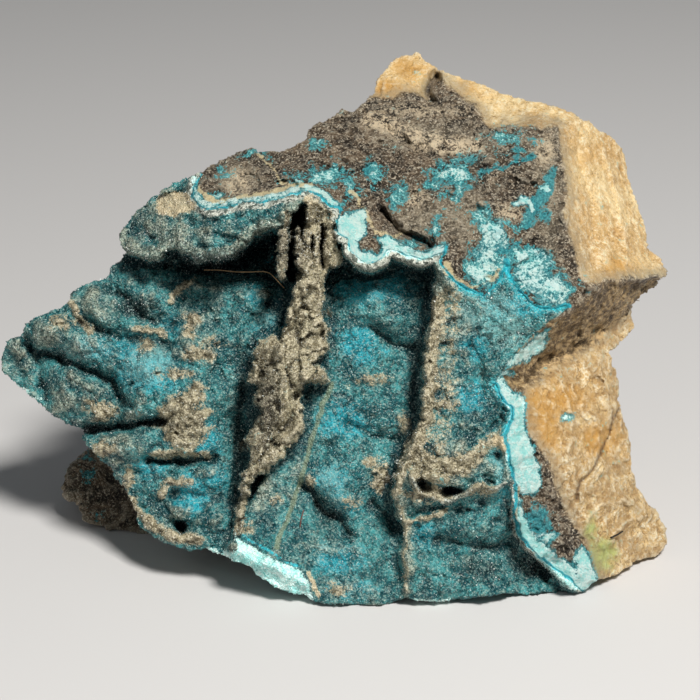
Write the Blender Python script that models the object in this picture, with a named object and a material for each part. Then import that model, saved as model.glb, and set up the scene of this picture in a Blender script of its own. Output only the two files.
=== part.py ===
"""A chrysocolla specimen: one broken lump of ore about 84 mm across, standing on its own flat base.

Its face carries a crystal-lined hollow with a crusty septum down the middle, a stepped cliff beside it,
an overhanging ledge above, brown matrix on top and two blocks of jasper at the right, split by a notch.
It grew and broke as one piece, so it is one object.

The lump is carved from a block of numbers, negative inside the stone. A relief gives the face, walls lean
in behind the outline, and broken planes make the back. The block's zero surface becomes the mesh.
"""

import math

import bmesh
import bpy
import numpy as np
import openvdb as vdb
from mathutils import Vector, noise

# Driving sizes, in millimetres unless they say otherwise.
FACE_STEP = 0.125  # the face map's unit: outlines count it rightwards and downwards from a corner
FACE_STEPS = 700  # the face map's width and height, in face steps
FACE_LEAN = math.radians(22)  # how far the face map leans back from upright
EYE_DISTANCE = 300.0  # the face map is drawn as seen from this far in front of it
FACE_CENTRE = (1.54, -9.96, 28.6)  # where the middle of the face map stands above the base
DEEPEST = -50.0  # the block reaches from this depth behind the face map
NEAREST = 10.0  # to this far in front of it
GRID = 0.75  # spacing of the block's numbers
MARGIN_CELLS = 3  # empty cells of the block around the face map
BLEND_CELLS = 2  # a patch of the face blends into its neighbours over this many cells
LEAST_LEAN = 0.12  # the walls draw in behind the outline at least this fast
LEAST_THICKNESS = 5.0  # the broken planes of the back stay at least this far behind the face
EDGE_CELLS = 7  # and behind the lowest face within this many cells of the block
FOOT_THICKNESS = 15.0
CORE = (2.9, -2.1, 22.0)  # the broken planes are measured from here
BASE_ALLOWANCE = 1.5  # stone carved below the base, then sawn off flat
ROUGHNESS = 0.45  # height of the uneven stone between the modelled features
ROUGH_SIZE = 6.0  # how far apart that unevenness is
ROUGH_DIMENSION, ROUGH_GAP, ROUGH_OCTAVES = 0.8, 2.0, 3  # the fractal that it follows
KEPT_SHARE = 0.12  # share of the carved mesh's triangles that the finished solid keeps
SAW_SIZE = 200.0  # the block that saws the base flat
METRE = 0.001

# The outline of the whole stone on the face map.
STONE = (
    (0, 359), (10, 339), (23, 326), (43, 314), (68, 301), (80, 286), (108, 276), (123, 257), (117, 236),
    (135, 213), (152, 196), (202, 170), (251, 147), (283, 151), (306, 138), (312, 125), (341, 111),
    (372, 94), (378, 76), (400, 54), (417, 50), (442, 70), (489, 86), (553, 104), (600, 130), (624, 151),
    (634, 194), (650, 251), (670, 273), (648, 294), (632, 315), (636, 328), (610, 353), (620, 384),
    (631, 441), (637, 487), (659, 513), (668, 544), (636, 561), (595, 581), (584, 592), (496, 595),
    (438, 602), (380, 606), (315, 602), (289, 592), (256, 575), (233, 562), (206, 549), (166, 544),
    (137, 525), (128, 498), (99, 461), (83, 430), (53, 418), (14, 383),
)
# The stone's back foot, behind the left wing.
FOOT = (
    (69, 465), (59, 488), (83, 504), (83, 524), (140, 534), (230, 545), (300, 500), (230, 400), (110, 430),
)

# Each patch of the face is a sheet through spots of (across, down, height). The left wing runs under all.
LEFT_WING = (
    (0, 359, -9), (40, 340, -7), (68, 301, -7), (100, 310, -4.5), (76, 388, -6), (10, 375, -9),
    (60, 420, -7), (139, 407, -2.5), (120, 450, -4), (100, 460, -5), (150, 350, -3), (200, 350, -3.5),
    (200, 300, -8), (150, 290, -8), (240, 290, -10), (190, 420, -1), (200, 500, -1), (160, 520, -2.5),
    (135, 500, -4), (230, 550, 0), (245, 330, -6), (235, 430, -4), (232, 500, -3), (110, 264, -10),
)
HOLLOW_UNDER_LEDGE = (
    (
        (170, 262), (230, 262), (262, 238), (284, 228), (294, 250), (284, 292), (262, 302), (200, 286),
        (150, 275),
    ),
    ((160, 268, -11), (220, 275, -14), (280, 240, -13), (280, 285, -11), (240, 295, -11)),
)
MIDDLE_PANEL = (
    (
        (314, 200), (318, 260), (310, 320), (300, 370), (285, 430), (262, 480), (240, 520), (228, 545),
        (250, 620), (407, 620), (402, 571), (405, 531), (393, 488), (409, 447), (422, 417), (421, 366),
        (425, 328), (433, 304), (433, 285), (446, 256), (404, 250), (350, 235),
    ),
    (
        (350, 300, -3), (400, 300, -4), (425, 320, -5), (340, 350, -1), (370, 350, -1.5), (412, 370, -4),
        (380, 400, -1), (350, 450, 0.5), (330, 500, 1), (295, 540, 1.5), (245, 545, 2.5), (300, 480, 1),
        (350, 560, 2), (320, 600, 2.5), (380, 600, 2.5), (400, 560, 0), (385, 520, -1), (400, 450, -2),
        (390, 268, -8), (340, 270, -8), (320, 240, -6),
    ),
)
RIGHT_PANEL = (
    (
        (433, 285), (433, 304), (425, 328), (421, 366), (422, 417), (409, 447), (393, 488), (405, 531),
        (402, 571), (407, 620), (600, 620), (583, 592), (528, 546), (515, 498), (505, 442), (512, 415),
        (496, 383), (520, 345), (575, 306), (541, 308), (503, 272), (470, 290), (446, 256),
    ),
    (
        (440, 300, 5), (500, 300, 5.5), (560, 310, 4.5), (440, 400, 5), (480, 400, 4.5), (497, 380, 5),
        (430, 470, 6), (500, 450, 5), (512, 480, 5), (450, 500, 3.5), (470, 540, 2.5), (430, 590, 2.5),
        (410, 540, 1.5), (500, 520, 2.5), (520, 552, 0), (545, 575, -1), (583, 592, -1), (500, 590, 2),
    ),
)
LEDGE = (
    (
        (100, 250), (117, 236), (100, 200), (251, 120), (306, 138), (320, 190), (300, 205), (285, 225),
        (265, 232), (250, 240), (230, 258), (200, 262), (175, 250), (150, 262), (122, 250),
    ),
    (
        (120, 240, -7), (150, 262, -1.5), (200, 262, 2), (230, 255, 3.5), (250, 240, 4), (285, 222, 4.5),
        (300, 205, 5), (160, 200, -6), (200, 175, -6), (185, 210, -2), (230, 215, 2.5), (275, 205, 4.5),
        (202, 205, 0), (245, 150, -8), (300, 150, -6),
    ),
)
MATRIX = (
    (
        (202, 150), (251, 120), (378, 60), (585, 100), (590, 233), (609, 282), (575, 306), (541, 308),
        (503, 272), (470, 290), (446, 253), (404, 255), (386, 249), (371, 266), (350, 252), (332, 232),
        (340, 210), (321, 195), (260, 201), (212, 209), (194, 186),
    ),
    (
        (446, 250, 6), (460, 290, 5.5), (505, 285, 5.5), (575, 300, 4), (520, 210, 2), (450, 200, 2),
        (400, 215, 3), (365, 240, 6), (345, 226, 6), (321, 200, 4), (340, 180, 0), (300, 160, -3),
        (310, 132, -7), (345, 112, -9), (372, 98, -11), (410, 97, -10.5), (440, 85, -12), (480, 119, -7.5),
        (510, 126, -6), (556, 126, -6), (560, 165, -2.8), (565, 205, 0.5), (570, 250, 3), (480, 160, -3),
        (430, 130, -6.5), (265, 165, -4), (251, 149, -8), (275, 195, 3), (210, 200, 0),
    ),
)
TOP_STRIP = (
    (
        (355, 103), (378, 99), (410, 95), (432, 100), (442, 83), (453, 92), (473, 105), (489, 129),
        (556, 126), (610, 126), (600, 90), (417, 30), (360, 60),
    ),
    (
        (362, 103, -11), (378, 76, -14), (400, 54, -16.5), (417, 50, -16.5), (410, 95, -11),
        (432, 100, -10.5), (442, 83, -12.5), (470, 79, -14), (489, 129, -6.5), (505, 94, -13.5),
        (553, 104, -12.5), (556, 126, -6.5), (589, 120, -13.5),
    ),
)
UPPER_JASPER = (
    (
        (556, 126), (558, 142), (564, 174), (562, 212), (568, 233), (581, 276), (590, 284), (609, 281),
        (690, 276), (660, 150), (600, 110),
    ),
    (
        (556, 126, -6), (560, 165, -2.8), (566, 205, 0.5), (581, 276, 4), (609, 280, 1), (600, 130, -13.5),
        (624, 151, -17.5), (634, 194, -15), (645, 225, -13), (650, 251, -11.5), (670, 276, -10.5),
    ),
)
NOTCH = (
    (
        (496, 378), (522, 344), (552, 320), (570, 315), (589, 298), (609, 281), (690, 276), (665, 282),
        (630, 308), (601, 333), (546, 366), (519, 383),
    ),
    (
        (498, 378, 5), (552, 320, 4.5), (576, 306, 4), (609, 282, 1), (670, 276, -10), (519, 383, 2),
        (546, 366, -1.5), (578, 349, -5), (601, 333, -7.5), (630, 308, -10), (665, 282, -12.5),
    ),
)
LOWER_JASPER = (
    (
        (498, 380), (519, 383), (546, 366), (601, 333), (620, 340), (690, 360), (690, 600), (583, 600),
        (528, 546), (515, 498), (505, 442), (512, 415),
    ),
    (
        (500, 385, 5), (527, 395, 3.5), (512, 430, 6), (514, 490, 5.5), (528, 546, 4.5), (556, 568, 2.5),
        (583, 592, -0.5), (560, 470, 3), (600, 400, -4.5), (612, 355, -8), (618, 390, -8.5), (632, 450, -9),
        (647, 500, -9.5), (668, 540, -11), (636, 561, -7), (595, 581, -0.5), (580, 349, -4.5), (546, 366, -1),
    ),
)
KNOB = (
    ((620, 300), (650, 300), (650, 340), (611, 356), (601, 335)),
    ((630, 308, -11), (634, 327, -12), (611, 350, -10.5)),
)
SEPTUM = (
    (
        (306, 200), (321, 201), (335, 233), (341, 264), (326, 280), (323, 304), (330, 330), (318, 365),
        (304, 387), (304, 433), (286, 456), (264, 486), (246, 531), (236, 531), (240, 495), (252, 456),
        (250, 430), (258, 395), (252, 380), (259, 339), (280, 335), (294, 292), (296, 233),
    ),
    (
        (310, 205, 6), (325, 240, 5), (305, 260, 6), (300, 300, 6), (310, 340, 5), (290, 350, 6.5),
        (262, 350, 4.5), (280, 400, 6), (300, 400, 5), (258, 430, 4), (278, 440, 5), (260, 470, 4),
        (243, 500, 3), (240, 530, 3),
    ),
)
PATCHES = (
    MIDDLE_PANEL, RIGHT_PANEL, HOLLOW_UNDER_LEDGE, LEDGE, MATRIX, TOP_STRIP, UPPER_JASPER, KNOB, NOTCH,
    LOWER_JASPER, SEPTUM,
)
FOOT_FRONT = ((60, 490, -18), (100, 525, -17), (110, 450, -20), (250, 480, -18), (200, 540, -15))

# How fast the walls draw in behind the outline, in millimetres a millimetre, around the map.
WALL_LEAN = (
    (350, 620, 0.14), (560, 590, 0.16), (230, 560, 0.3), (100, 450, 0.6), (20, 350, 0.6), (200, 170, 0.4),
    (310, 130, 0.4), (400, 50, 0.6), (500, 90, 0.4), (620, 150, 0.45), (660, 270, 0.6), (620, 370, 0.4),
    (660, 540, 0.25),
)

# Domes and dents of (across, down, radius, height), the radius in face steps. LUMP_FALL is how many times
# over a lump has faded at its radius.
LUMP_FALL = 2
LUMPS = (
    (76, 388, 34, 2.0), (139, 405, 28, 2.2), (50, 330, 26, 1.6), (100, 308, 28, 1.8), (145, 302, 26, 1.6),
    (150, 380, 24, 1.2), (180, 345, 22, 1.2), (130, 450, 30, 1.8), (205, 475, 26, 1.6), (165, 505, 26, 1.2),
    (215, 520, 24, 1.2), (185, 410, 28, 1.8), (332, 482, 28, 2.2), (365, 545, 30, 1.6), (385, 315, 26, 1.2),
    (365, 372, 26, 1.0), (455, 460, 30, 1.6), (443, 408, 20, 1.0), (470, 530, 26, 1.2), (420, 565, 22, 1.4),
    (181, 527, 9, -2.5), (450, 492, 12, -2.0), (540, 568, 26, -1.8), (425, 488, 9, -2.0),
)
# Furrows of (width in face steps, height, points they run through).
FURROWS = (
    (11, -2.6, ((30, 334), (60, 350), (112, 375), (120, 405))),
    (8, -2.0, ((100, 430), (135, 424), (166, 421))),
    (8, -1.8, ((110, 290), (150, 296), (165, 322), (120, 330), (80, 318))),
    (9, -1.8, ((150, 458), (180, 461), (212, 456))),
    (10, -3.0, ((306, 486), (322, 508), (345, 534))),
    (9, -2.2, ((345, 470), (365, 500), (398, 527))),
    (8, -1.6, ((438, 540), (470, 548), (510, 545))),
    (10, -2.2, ((236, 340), (240, 400), (238, 450), (232, 500))),
    (8, -1.8, ((384, 214), (404, 232), (428, 244))),
    (7, 1.2, ((428, 330), (427, 380), (416, 440), (398, 480), (400, 515), (408, 560), (406, 590))),
    (8, 1.0, ((415, 480), (450, 484), (492, 488))),
)

# Broken planes of the back, as (azimuth, elevation, distance from the core), the angles in degrees.
BACK_PLANES = (
    (92, 2, 25.5), (136, 10, 30.0), (48, 4, 33.0), (108, 50, 37.0), (75, -36, 27.0), (152, -24, 34.0),
    (160, 42, 36.0), (20, 34, 40.0),
)


def outline_distance(outline, across, down):
    """Distance of each map point from a closed outline, in face steps, negative inside it."""
    distance = np.full(across.shape, np.inf)
    inside = np.zeros(across.shape, bool)
    for (x0, y0), (x1, y1) in zip(outline, outline[1:] + outline[:1]):
        run, fall = x1 - x0, y1 - y0
        share = ((across - x0) * run + (down - y0) * fall) / (run * run + fall * fall)
        share = np.clip(share, 0, 1)
        distance = np.minimum(distance, np.hypot(across - x0 - share * run, down - y0 - share * fall))
        if fall:
            inside ^= ((y0 > down) != (y1 > down)) & (across < x0 + (down - y0) * run / fall)
    return np.where(inside, -distance, distance)


def line_distance(points, across, down):
    """Distance of each map point from an open line, in face steps."""
    there_and_back = points + points[-2:0:-1]
    return abs(outline_distance(there_and_back, across, down))


def spline_terms(across, down, spots):
    """Thin-plate kernel between map points and spots, then the terms of a plane."""
    square = (across[..., None] - spots[:, 0]) ** 2 + (down[..., None] - spots[:, 1]) ** 2
    kernel = square * np.log(square + 1)
    level = np.ones_like(kernel[..., :1])
    return np.concatenate([kernel, level, across[..., None], down[..., None]], axis=-1)


def sheet_through(spots, across, down):
    """Height of the smoothest sheet through spots of (across, down, height)."""
    spots = np.array(spots, float)
    count = len(spots)
    terms = spline_terms(spots[:, 0], spots[:, 1], spots)
    system = np.zeros((count + 3, count + 3))
    system[:count] = terms
    system[count:, :count] = terms[:, count:].T
    heights = np.append(spots[:, 2], (0, 0, 0))
    return spline_terms(across, down, spots) @ np.linalg.solve(system, heights)


def relief(across, down):
    """Height of the stone's face over the map, in millimetres."""
    height = sheet_through(LEFT_WING, across, down)
    edge = BLEND_CELLS * GRID / FACE_STEP
    for outline, spots in PATCHES:
        cover = np.clip(0.5 - outline_distance(outline, across, down) / edge, 0, 1)
        height += cover * (sheet_through(spots, across, down) - height)
    for x, y, radius, rise in LUMPS:
        square = ((across - x) ** 2 + (down - y) ** 2) / radius**2
        height += rise * np.exp(-LUMP_FALL * square)
    for width, rise, points in FURROWS:
        height += rise * np.exp(-((line_distance(points, across, down) / width) ** 2))
    return height


def nearby(height, cells, summary):
    """A summary, such as the lowest or the mean, of the heights within some cells of each map point."""
    for axis in (0, 1):
        shifted = [np.roll(height, shift, axis) for shift in range(-cells, cells + 1)]
        height = summary(shifted, axis=0)
    return height


def placed(across, down, depth):
    """A point of the map at a depth, in the stone's own frame with its base at z = 0."""
    scale = FACE_STEP * (EYE_DISTANCE - depth) / EYE_DISTANCE
    right = (across - FACE_STEPS / 2) * scale
    rise = (FACE_STEPS / 2 - down) * scale
    lean_sin, lean_cos = math.sin(FACE_LEAN), math.cos(FACE_LEAN)
    return (
        FACE_CENTRE[0] + right,
        FACE_CENTRE[1] + rise * lean_sin - depth * lean_cos,
        FACE_CENTRE[2] + rise * lean_cos + depth * lean_sin,
    )


def behind_back(x, y, z):
    """Distance outside the nearest broken plane of the back, negative within all of them."""
    outside = np.full(x.shape, -np.inf)
    for azimuth, elevation, distance in BACK_PLANES:
        azimuth, elevation = math.radians(azimuth), math.radians(elevation)
        flat = (x - CORE[0]) * math.cos(azimuth) + (y - CORE[1]) * math.sin(azimuth)
        reach = flat * math.cos(elevation) + (z - CORE[2]) * math.sin(elevation)
        outside = np.maximum(outside, reach - distance)
    return outside


def block():
    """The carved block: its numbers, and the map position and depth of the first one."""
    step = GRID / FACE_STEP
    margin = MARGIN_CELLS * step
    across, down = np.meshgrid(*[np.arange(-margin, FACE_STEPS + margin, step)] * 2, indexing="ij")
    depth = np.arange(DEEPEST, NEAREST, GRID)
    face = relief(across, down)[..., None]
    underside = nearby(nearby(face, EDGE_CELLS, np.min), EDGE_CELLS // 2, np.mean)
    foot_face = sheet_through(FOOT_FRONT, across, down)[..., None]
    lean = np.maximum(sheet_through(WALL_LEAN, across, down), LEAST_LEAN)[..., None]
    rim = outline_distance(STONE, across, down)[..., None] * FACE_STEP
    foot_rim = outline_distance(FOOT, across, down)[..., None] * FACE_STEP
    x, y, z = placed(across[..., None], down[..., None], depth)
    back = behind_back(x, y, z)

    main = np.maximum(depth - face, rim + lean * np.maximum(face - depth, 0))
    main = np.maximum(main, np.minimum(back, underside - depth - LEAST_THICKNESS))
    foot = np.maximum(depth - foot_face, foot_rim + LEAST_LEAN * np.maximum(foot_face - depth, 0))
    foot = np.maximum(foot, foot_face - depth - FOOT_THICKNESS)
    return np.maximum(np.minimum(main, foot), -z - BASE_ALLOWANCE), across[0, 0]


def carved_mesh():
    """The block's zero surface as a mesh, in metres."""
    numbers, corner = block()
    grid = vdb.FloatGrid(background=GRID)
    grid.gridClass = vdb.GridClass.LEVEL_SET
    grid.copyFromArray(np.clip(numbers, -GRID, GRID).astype(np.float32), tolerance=0)
    points, quads = grid.convertToQuads(isovalue=0.0)
    across, down = corner + points[:, :2].T * (GRID / FACE_STEP)
    depth = DEEPEST + points[:, 2] * GRID
    points = np.stack(placed(across, down, depth), axis=1) * METRE
    mesh = bpy.data.meshes.new("specimen")
    mesh.from_pydata(points.tolist(), [], quads.tolist())
    return mesh


def roughened(points, normals):
    """The points pushed in and out along their normals, so that no broken plane is quite flat."""
    places = [Vector(point) / (METRE * ROUGH_SIZE) for point in points]
    pushes = [noise.fractal(place, ROUGH_DIMENSION, ROUGH_GAP, ROUGH_OCTAVES) for place in places]
    return points + normals * np.array(pushes)[:, None] * ROUGHNESS * METRE


def shells_of(mesh):
    """The vertices of each separate shell."""
    seen = set()
    shells = []
    for start in mesh.verts:
        if start in seen:
            continue
        seen.add(start)
        shell = [start]
        for vertex in shell:
            ends = [edge.other_vert(vertex) for edge in vertex.link_edges]
            fresh = [end for end in ends if end not in seen]
            seen.update(fresh)
            shell.extend(fresh)
        shells.append(shell)
    return shells


def tidied(mesh):
    """Drops the crumbs that the carving left beside and inside the stone, then roughens what is left."""
    work = bmesh.new()
    work.from_mesh(mesh)
    shells = sorted(shells_of(work), key=len)
    bmesh.ops.delete(work, geom=[vertex for shell in shells[:-1] for vertex in shell])
    work.normal_update()
    points = np.array([vertex.co for vertex in work.verts])
    normals = np.array([vertex.normal for vertex in work.verts])
    for vertex, point in zip(work.verts, roughened(points, normals)):
        vertex.co = point
    work.to_mesh(mesh)
    work.free()


def stone_material():
    material = bpy.data.materials.new("chrysocolla_stone")
    material.use_nodes = True
    shader = material.node_tree.nodes["Principled BSDF"]
    shader.inputs["Base Color"].default_value = (0.07, 0.22, 0.25, 1)
    shader.inputs["Roughness"].default_value = 0.55
    shader.inputs["Metallic"].default_value = 0.0
    return material


def base_saw():
    """A block below the base plane, which saws the base flat."""
    size = SAW_SIZE * METRE
    bpy.ops.mesh.primitive_cube_add(size=size, location=(0, 0, -size / 2))
    saw = bpy.context.object
    saw.name = "base_saw"
    saw.display_type = "WIRE"
    saw.hide_render = True
    return saw


def specimen():
    mesh = carved_mesh()
    tidied(mesh)
    mesh.materials.append(stone_material())
    stone = bpy.data.objects.new("specimen", mesh)
    bpy.context.scene.collection.objects.link(stone)
    fewer = stone.modifiers.new("fewer", "DECIMATE")
    fewer.ratio = KEPT_SHARE
    flat_base = stone.modifiers.new("flat_base", "BOOLEAN")
    flat_base.operation = "DIFFERENCE"
    flat_base.object = base_saw()


def clear_scene():
    for thing in list(bpy.data.objects):
        bpy.data.objects.remove(thing)


clear_scene()
specimen()
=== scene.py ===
"""Looks of a chrysocolla specimen: a broken lump of ore 86 mm across, standing on its flat base.

The stone is carved from a block of numbers, as its CAD solid is, but finely. A relief over a face map gives
the crystal-lined hollow, the septum and the rock round it, and broken planes make the back. Its surface is
roughened zone by zone, painted by where it lies on the map, and set with small crystals.
"""

import functools
import math

import bpy
import numpy as np
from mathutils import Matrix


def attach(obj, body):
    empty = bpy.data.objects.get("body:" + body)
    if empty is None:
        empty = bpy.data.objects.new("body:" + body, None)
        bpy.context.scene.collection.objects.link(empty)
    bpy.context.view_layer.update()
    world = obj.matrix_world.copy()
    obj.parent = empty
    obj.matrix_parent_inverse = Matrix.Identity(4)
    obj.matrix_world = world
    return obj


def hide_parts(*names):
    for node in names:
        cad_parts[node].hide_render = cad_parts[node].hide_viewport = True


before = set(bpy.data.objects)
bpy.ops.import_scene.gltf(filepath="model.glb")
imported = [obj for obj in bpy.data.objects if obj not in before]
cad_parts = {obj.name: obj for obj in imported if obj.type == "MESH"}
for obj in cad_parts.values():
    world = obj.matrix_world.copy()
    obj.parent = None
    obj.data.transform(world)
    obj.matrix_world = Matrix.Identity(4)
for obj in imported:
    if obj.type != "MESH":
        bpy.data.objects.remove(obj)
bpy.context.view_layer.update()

import openvdb as vdb
from mathutils import Vector

# ---------------------------------------------------------------- sizes, in millimetres unless said otherwise

FACE_STEP = 0.125  # the face map's unit: outlines count it rightwards and downwards from a corner
FACE_STEPS = 700  # the face map's width and height, in face steps
FACE_LEAN = math.radians(22)  # how far the face map leans back from upright
EYE_DISTANCE = 300.0  # the face map is drawn as seen from this far in front of it
FACE_CENTRE = (1.54, -9.96, 28.6)  # where the middle of the face map stands above the base
CORE = (2.9, -2.1, 22.0)  # the broken planes of the back are measured from here
LEAST_LEAN = 0.12  # the walls draw in behind the outline at least this fast
LEAST_THICKNESS = 5.0  # the broken planes of the back stay at least this far behind the face
EDGE_REACH = 42  # and behind the lowest face within this many face steps
FOOT_THICKNESS = 15.0
EDGE_WANDER = 1.2  # the stone's outline wanders by so many face steps
DEPTHS = (-44.0, 9.0)  # the block reaches over these depths from the face map
MAP_LEFT, MAP_RIGHT, MAP_TOP, MAP_BOTTOM = -8, 680, 40, 616  # and over these face steps
CELL = 1.75  # the block's spacing across the map, in face steps
DEPTH_CELL = 0.33
METRE = 0.001
FRONT_DEPTH = 1.5  # the face reaches so far back, and behind it come the walls and the back
BACK_SHARE = 0.35  # share of the triangles that the walls and the back keep
MARK_DEPTH = 60  # how deep inside an outline, in face steps, a kind of stone still changes
HALFWAY = 290  # where the two halves of the druse meet, in face steps
DRUSE_DEPTH = 0.8  # the druse draws in from here behind the face
DRUSE_FADE = 9  # by this many face steps a millimetre
CRYSTALS = 46000  # on each half of the druse
CRYSTAL_RADIUS = 0.1
FIBRE_SIDES = 6
FIBRE_STEPS = 12  # for each point of a fibre's path
FIBRE_BEND = 6  # steps on either side over which a fibre's path is rounded
CREST_REACH = 6  # edges of the mesh over which a crest stands out
CREST_HEIGHT = 0.16
RAISED_REACH = 12  # the face is raised against its mean height within this many face steps
RAISED_HEIGHT = 2
FLOOR_SIZE = 6.0  # metres
SENSOR_WIDTH = 36

# ---------------------------------------------------------------- the face map: outlines in face steps

# The outline of the whole stone.
STONE = (
    (0, 359), (6, 344), (10, 339), (21, 335), (23, 326), (32, 318), (43, 314), (61, 306), (68, 301),
    (69, 294), (80, 286), (92, 281), (108, 276), (110, 270), (113, 264), (123, 257), (122, 248), (117, 236),
    (124, 226), (135, 213), (152, 196), (172, 184), (189, 176), (202, 170), (221, 159), (240, 151),
    (251, 147), (259, 151), (283, 151), (296, 144), (306, 138), (307, 130), (312, 125), (330, 117),
    (341, 111), (354, 110), (372, 94), (378, 76), (394, 59), (400, 54), (409, 55), (417, 50), (426, 59),
    (442, 70), (458, 76), (470, 79), (489, 86), (505, 94), (526, 99), (536, 102), (553, 104), (571, 112),
    (589, 120), (600, 130), (614, 137), (624, 151), (628, 170), (634, 194), (642, 212), (648, 237),
    (650, 251), (659, 255), (670, 273), (667, 277), (648, 294), (634, 306), (632, 315), (636, 328),
    (626, 338), (616, 349), (610, 353), (620, 384), (619, 398), (623, 414), (631, 441), (632, 465),
    (637, 487), (647, 501), (659, 513), (667, 529), (668, 544), (659, 556), (636, 561), (624, 571),
    (611, 578), (595, 581), (584, 592), (567, 594), (543, 592), (526, 595), (512, 593), (496, 595),
    (476, 597), (456, 600), (438, 602), (416, 601), (406, 597), (394, 602), (380, 606), (335, 604),
    (315, 602), (305, 595), (289, 592), (276, 587), (256, 575), (249, 565), (233, 562), (220, 553),
    (206, 549), (188, 551), (166, 544), (150, 535), (137, 525), (135, 512), (128, 498), (123, 487),
    (113, 479), (112, 469), (99, 461), (92, 452), (81, 439), (83, 430), (72, 426), (53, 418), (43, 408),
    (27, 393), (14, 383), (2, 372),
)
# The stone's back foot, behind the left wing.
FOOT = (
    (69, 465), (59, 488), (70, 499), (83, 504), (83, 522), (96, 525), (140, 534), (230, 545), (300, 500),
    (230, 400), (110, 430),
)
# Where the crystals end and the rock begins: along the top, then down the right.
TOP_CONTACT = (
    (190, 160), (202, 173), (194, 186), (192, 197), (199, 206), (212, 210), (228, 208), (243, 203),
    (260, 202), (275, 200), (291, 195), (306, 191), (321, 195), (328, 204), (339, 208), (335, 226),
    (339, 234), (348, 239), (350, 250), (358, 260), (371, 264), (382, 258), (386, 249), (391, 250),
    (404, 255), (423, 259), (439, 253), (446, 247), (439, 260), (454, 282), (470, 290), (485, 295),
    (493, 288), (498, 282), (503, 272), (506, 262), (510, 276), (519, 290), (530, 301), (541, 308),
    (551, 307), (571, 306),
)
RIGHT_CONTACT = (
    (496, 383), (499, 393), (505, 402), (512, 409), (512, 420), (505, 434), (505, 442), (510, 452),
    (512, 469), (515, 484), (517, 498), (515, 514), (518, 531), (528, 546), (540, 557), (556, 568),
    (572, 581), (583, 592),
)
DRUSE = (
    ((-40, 360), (0, 300), (60, 270), (90, 240), (110, 190))
    + TOP_CONTACT
    + ((552, 320), (539, 330), (522, 344), (498, 376))
    + RIGHT_CONTACT
    + ((590, 660), (-40, 660))
)
UPPER_JASPER_OUTLINE = (
    (355, 104), (378, 99), (410, 95), (420, 97), (428, 99), (430, 88), (438, 79), (453, 90), (473, 105),
    (483, 119), (489, 129), (505, 128), (510, 126), (556, 126), (558, 142), (564, 174), (567, 205),
    (562, 212), (568, 233), (576, 257), (581, 276), (590, 284), (609, 280), (720, 274), (720, 20),
    (340, 20),
)
LOWER_JASPER_OUTLINE = (
    (521, 386), (523, 394), (528, 433), (535, 447), (548, 464), (556, 492), (569, 523), (583, 541),
    (591, 555), (595, 579), (600, 640), (720, 640), (720, 330), (665, 282), (630, 308), (601, 333),
    (578, 349), (546, 366),
)

# Each patch of the face is a sheet through spots of (across, down, height). The left wing runs under all.
LEFT_WING = (
    (0, 359, -9), (40, 340, -7), (68, 301, -7), (100, 310, -4.5), (76, 388, -6), (10, 375, -9),
    (60, 420, -7), (139, 407, -2.5), (120, 450, -4), (100, 460, -5), (150, 350, -3), (200, 350, -3.5),
    (200, 300, -6), (150, 290, -7.5), (240, 290, -6), (190, 420, -1), (200, 500, -1), (160, 520, -2.5),
    (135, 500, -4), (230, 550, 0), (245, 330, -3), (235, 430, -3), (232, 500, -2), (110, 264, -10),
)
HOLLOW_UNDER_LEDGE = (
    (
        (170, 262), (200, 266), (232, 262), (252, 244), (268, 236), (284, 228), (294, 250), (284, 292),
        (262, 302), (200, 286), (150, 275),
    ),
    ((160, 268, -10), (220, 262, -13), (280, 240, -13), (280, 280, -7.5), (240, 292, -6), (200, 288, -6.5)),
)
# The step down from the right panel to the middle one, from its top.
CLIFF = (
    (433, 285), (433, 304), (431, 323), (425, 328), (425, 344), (421, 366), (422, 387), (422, 417),
    (415, 434), (409, 447), (399, 469), (393, 488), (394, 511), (401, 523), (405, 531), (402, 547),
    (402, 571), (406, 586), (407, 620),
)
MIDDLE_PANEL = (
    (
        (314, 200), (318, 260), (310, 320), (300, 370), (285, 430), (262, 480), (240, 520), (228, 545),
        (250, 620), *CLIFF[::-1], (448, 240), (404, 235), (335, 200),
    ),
    (
        (350, 300, 0.5), (400, 300, 0), (425, 320, -1.5), (340, 350, 0.5), (370, 350, 0.5),
        (412, 370, -1.5), (380, 400, 0), (350, 450, 1), (330, 500, 1), (295, 540, 1.5), (245, 545, 2.5),
        (300, 480, 1), (350, 560, 2), (320, 600, 2.5), (380, 600, 2.5), (400, 560, 0.5), (385, 520, -0.5),
        (400, 450, -0.5), (390, 268, -2), (340, 270, -2.5), (320, 240, -5),
    ),
)
RIGHT_PANEL = (
    (
        *CLIFF, (620, 620), (600, 592), (570, 560), (545, 540), (535, 498), (525, 442), (530, 415),
        (525, 383), (540, 350), (590, 306), (575, 290), (503, 255), (470, 270), (448, 240),
    ),
    (
        (440, 300, 5), (500, 300, 5.5), (560, 310, 4.5), (440, 400, 5), (480, 400, 4.5), (497, 380, 5),
        (430, 470, 6), (500, 450, 5), (512, 480, 5), (450, 500, 3.5), (470, 540, 2.5), (430, 590, 2.5),
        (410, 540, 1.5), (500, 520, 2.5), (520, 552, 0), (545, 575, -1), (583, 592, -1), (500, 590, 2),
    ),
)
LEDGE = (
    (
        (100, 250), (117, 236), (100, 200), (251, 120), (306, 138), (320, 190), (300, 205), (285, 225),
        (265, 232), (250, 240), (230, 258), (200, 262), (175, 250), (160, 258), (150, 262), (120, 250),
    ),
    (
        (120, 240, -7), (150, 262, -1.5), (200, 262, 2), (230, 255, 3.5), (250, 240, 4), (285, 222, 4.5),
        (300, 205, 5), (160, 200, -6), (200, 175, -6), (185, 210, -2), (230, 215, 2.5), (275, 205, 4.5),
        (202, 205, 0), (245, 150, -8), (300, 150, -6),
    ),
)
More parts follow.
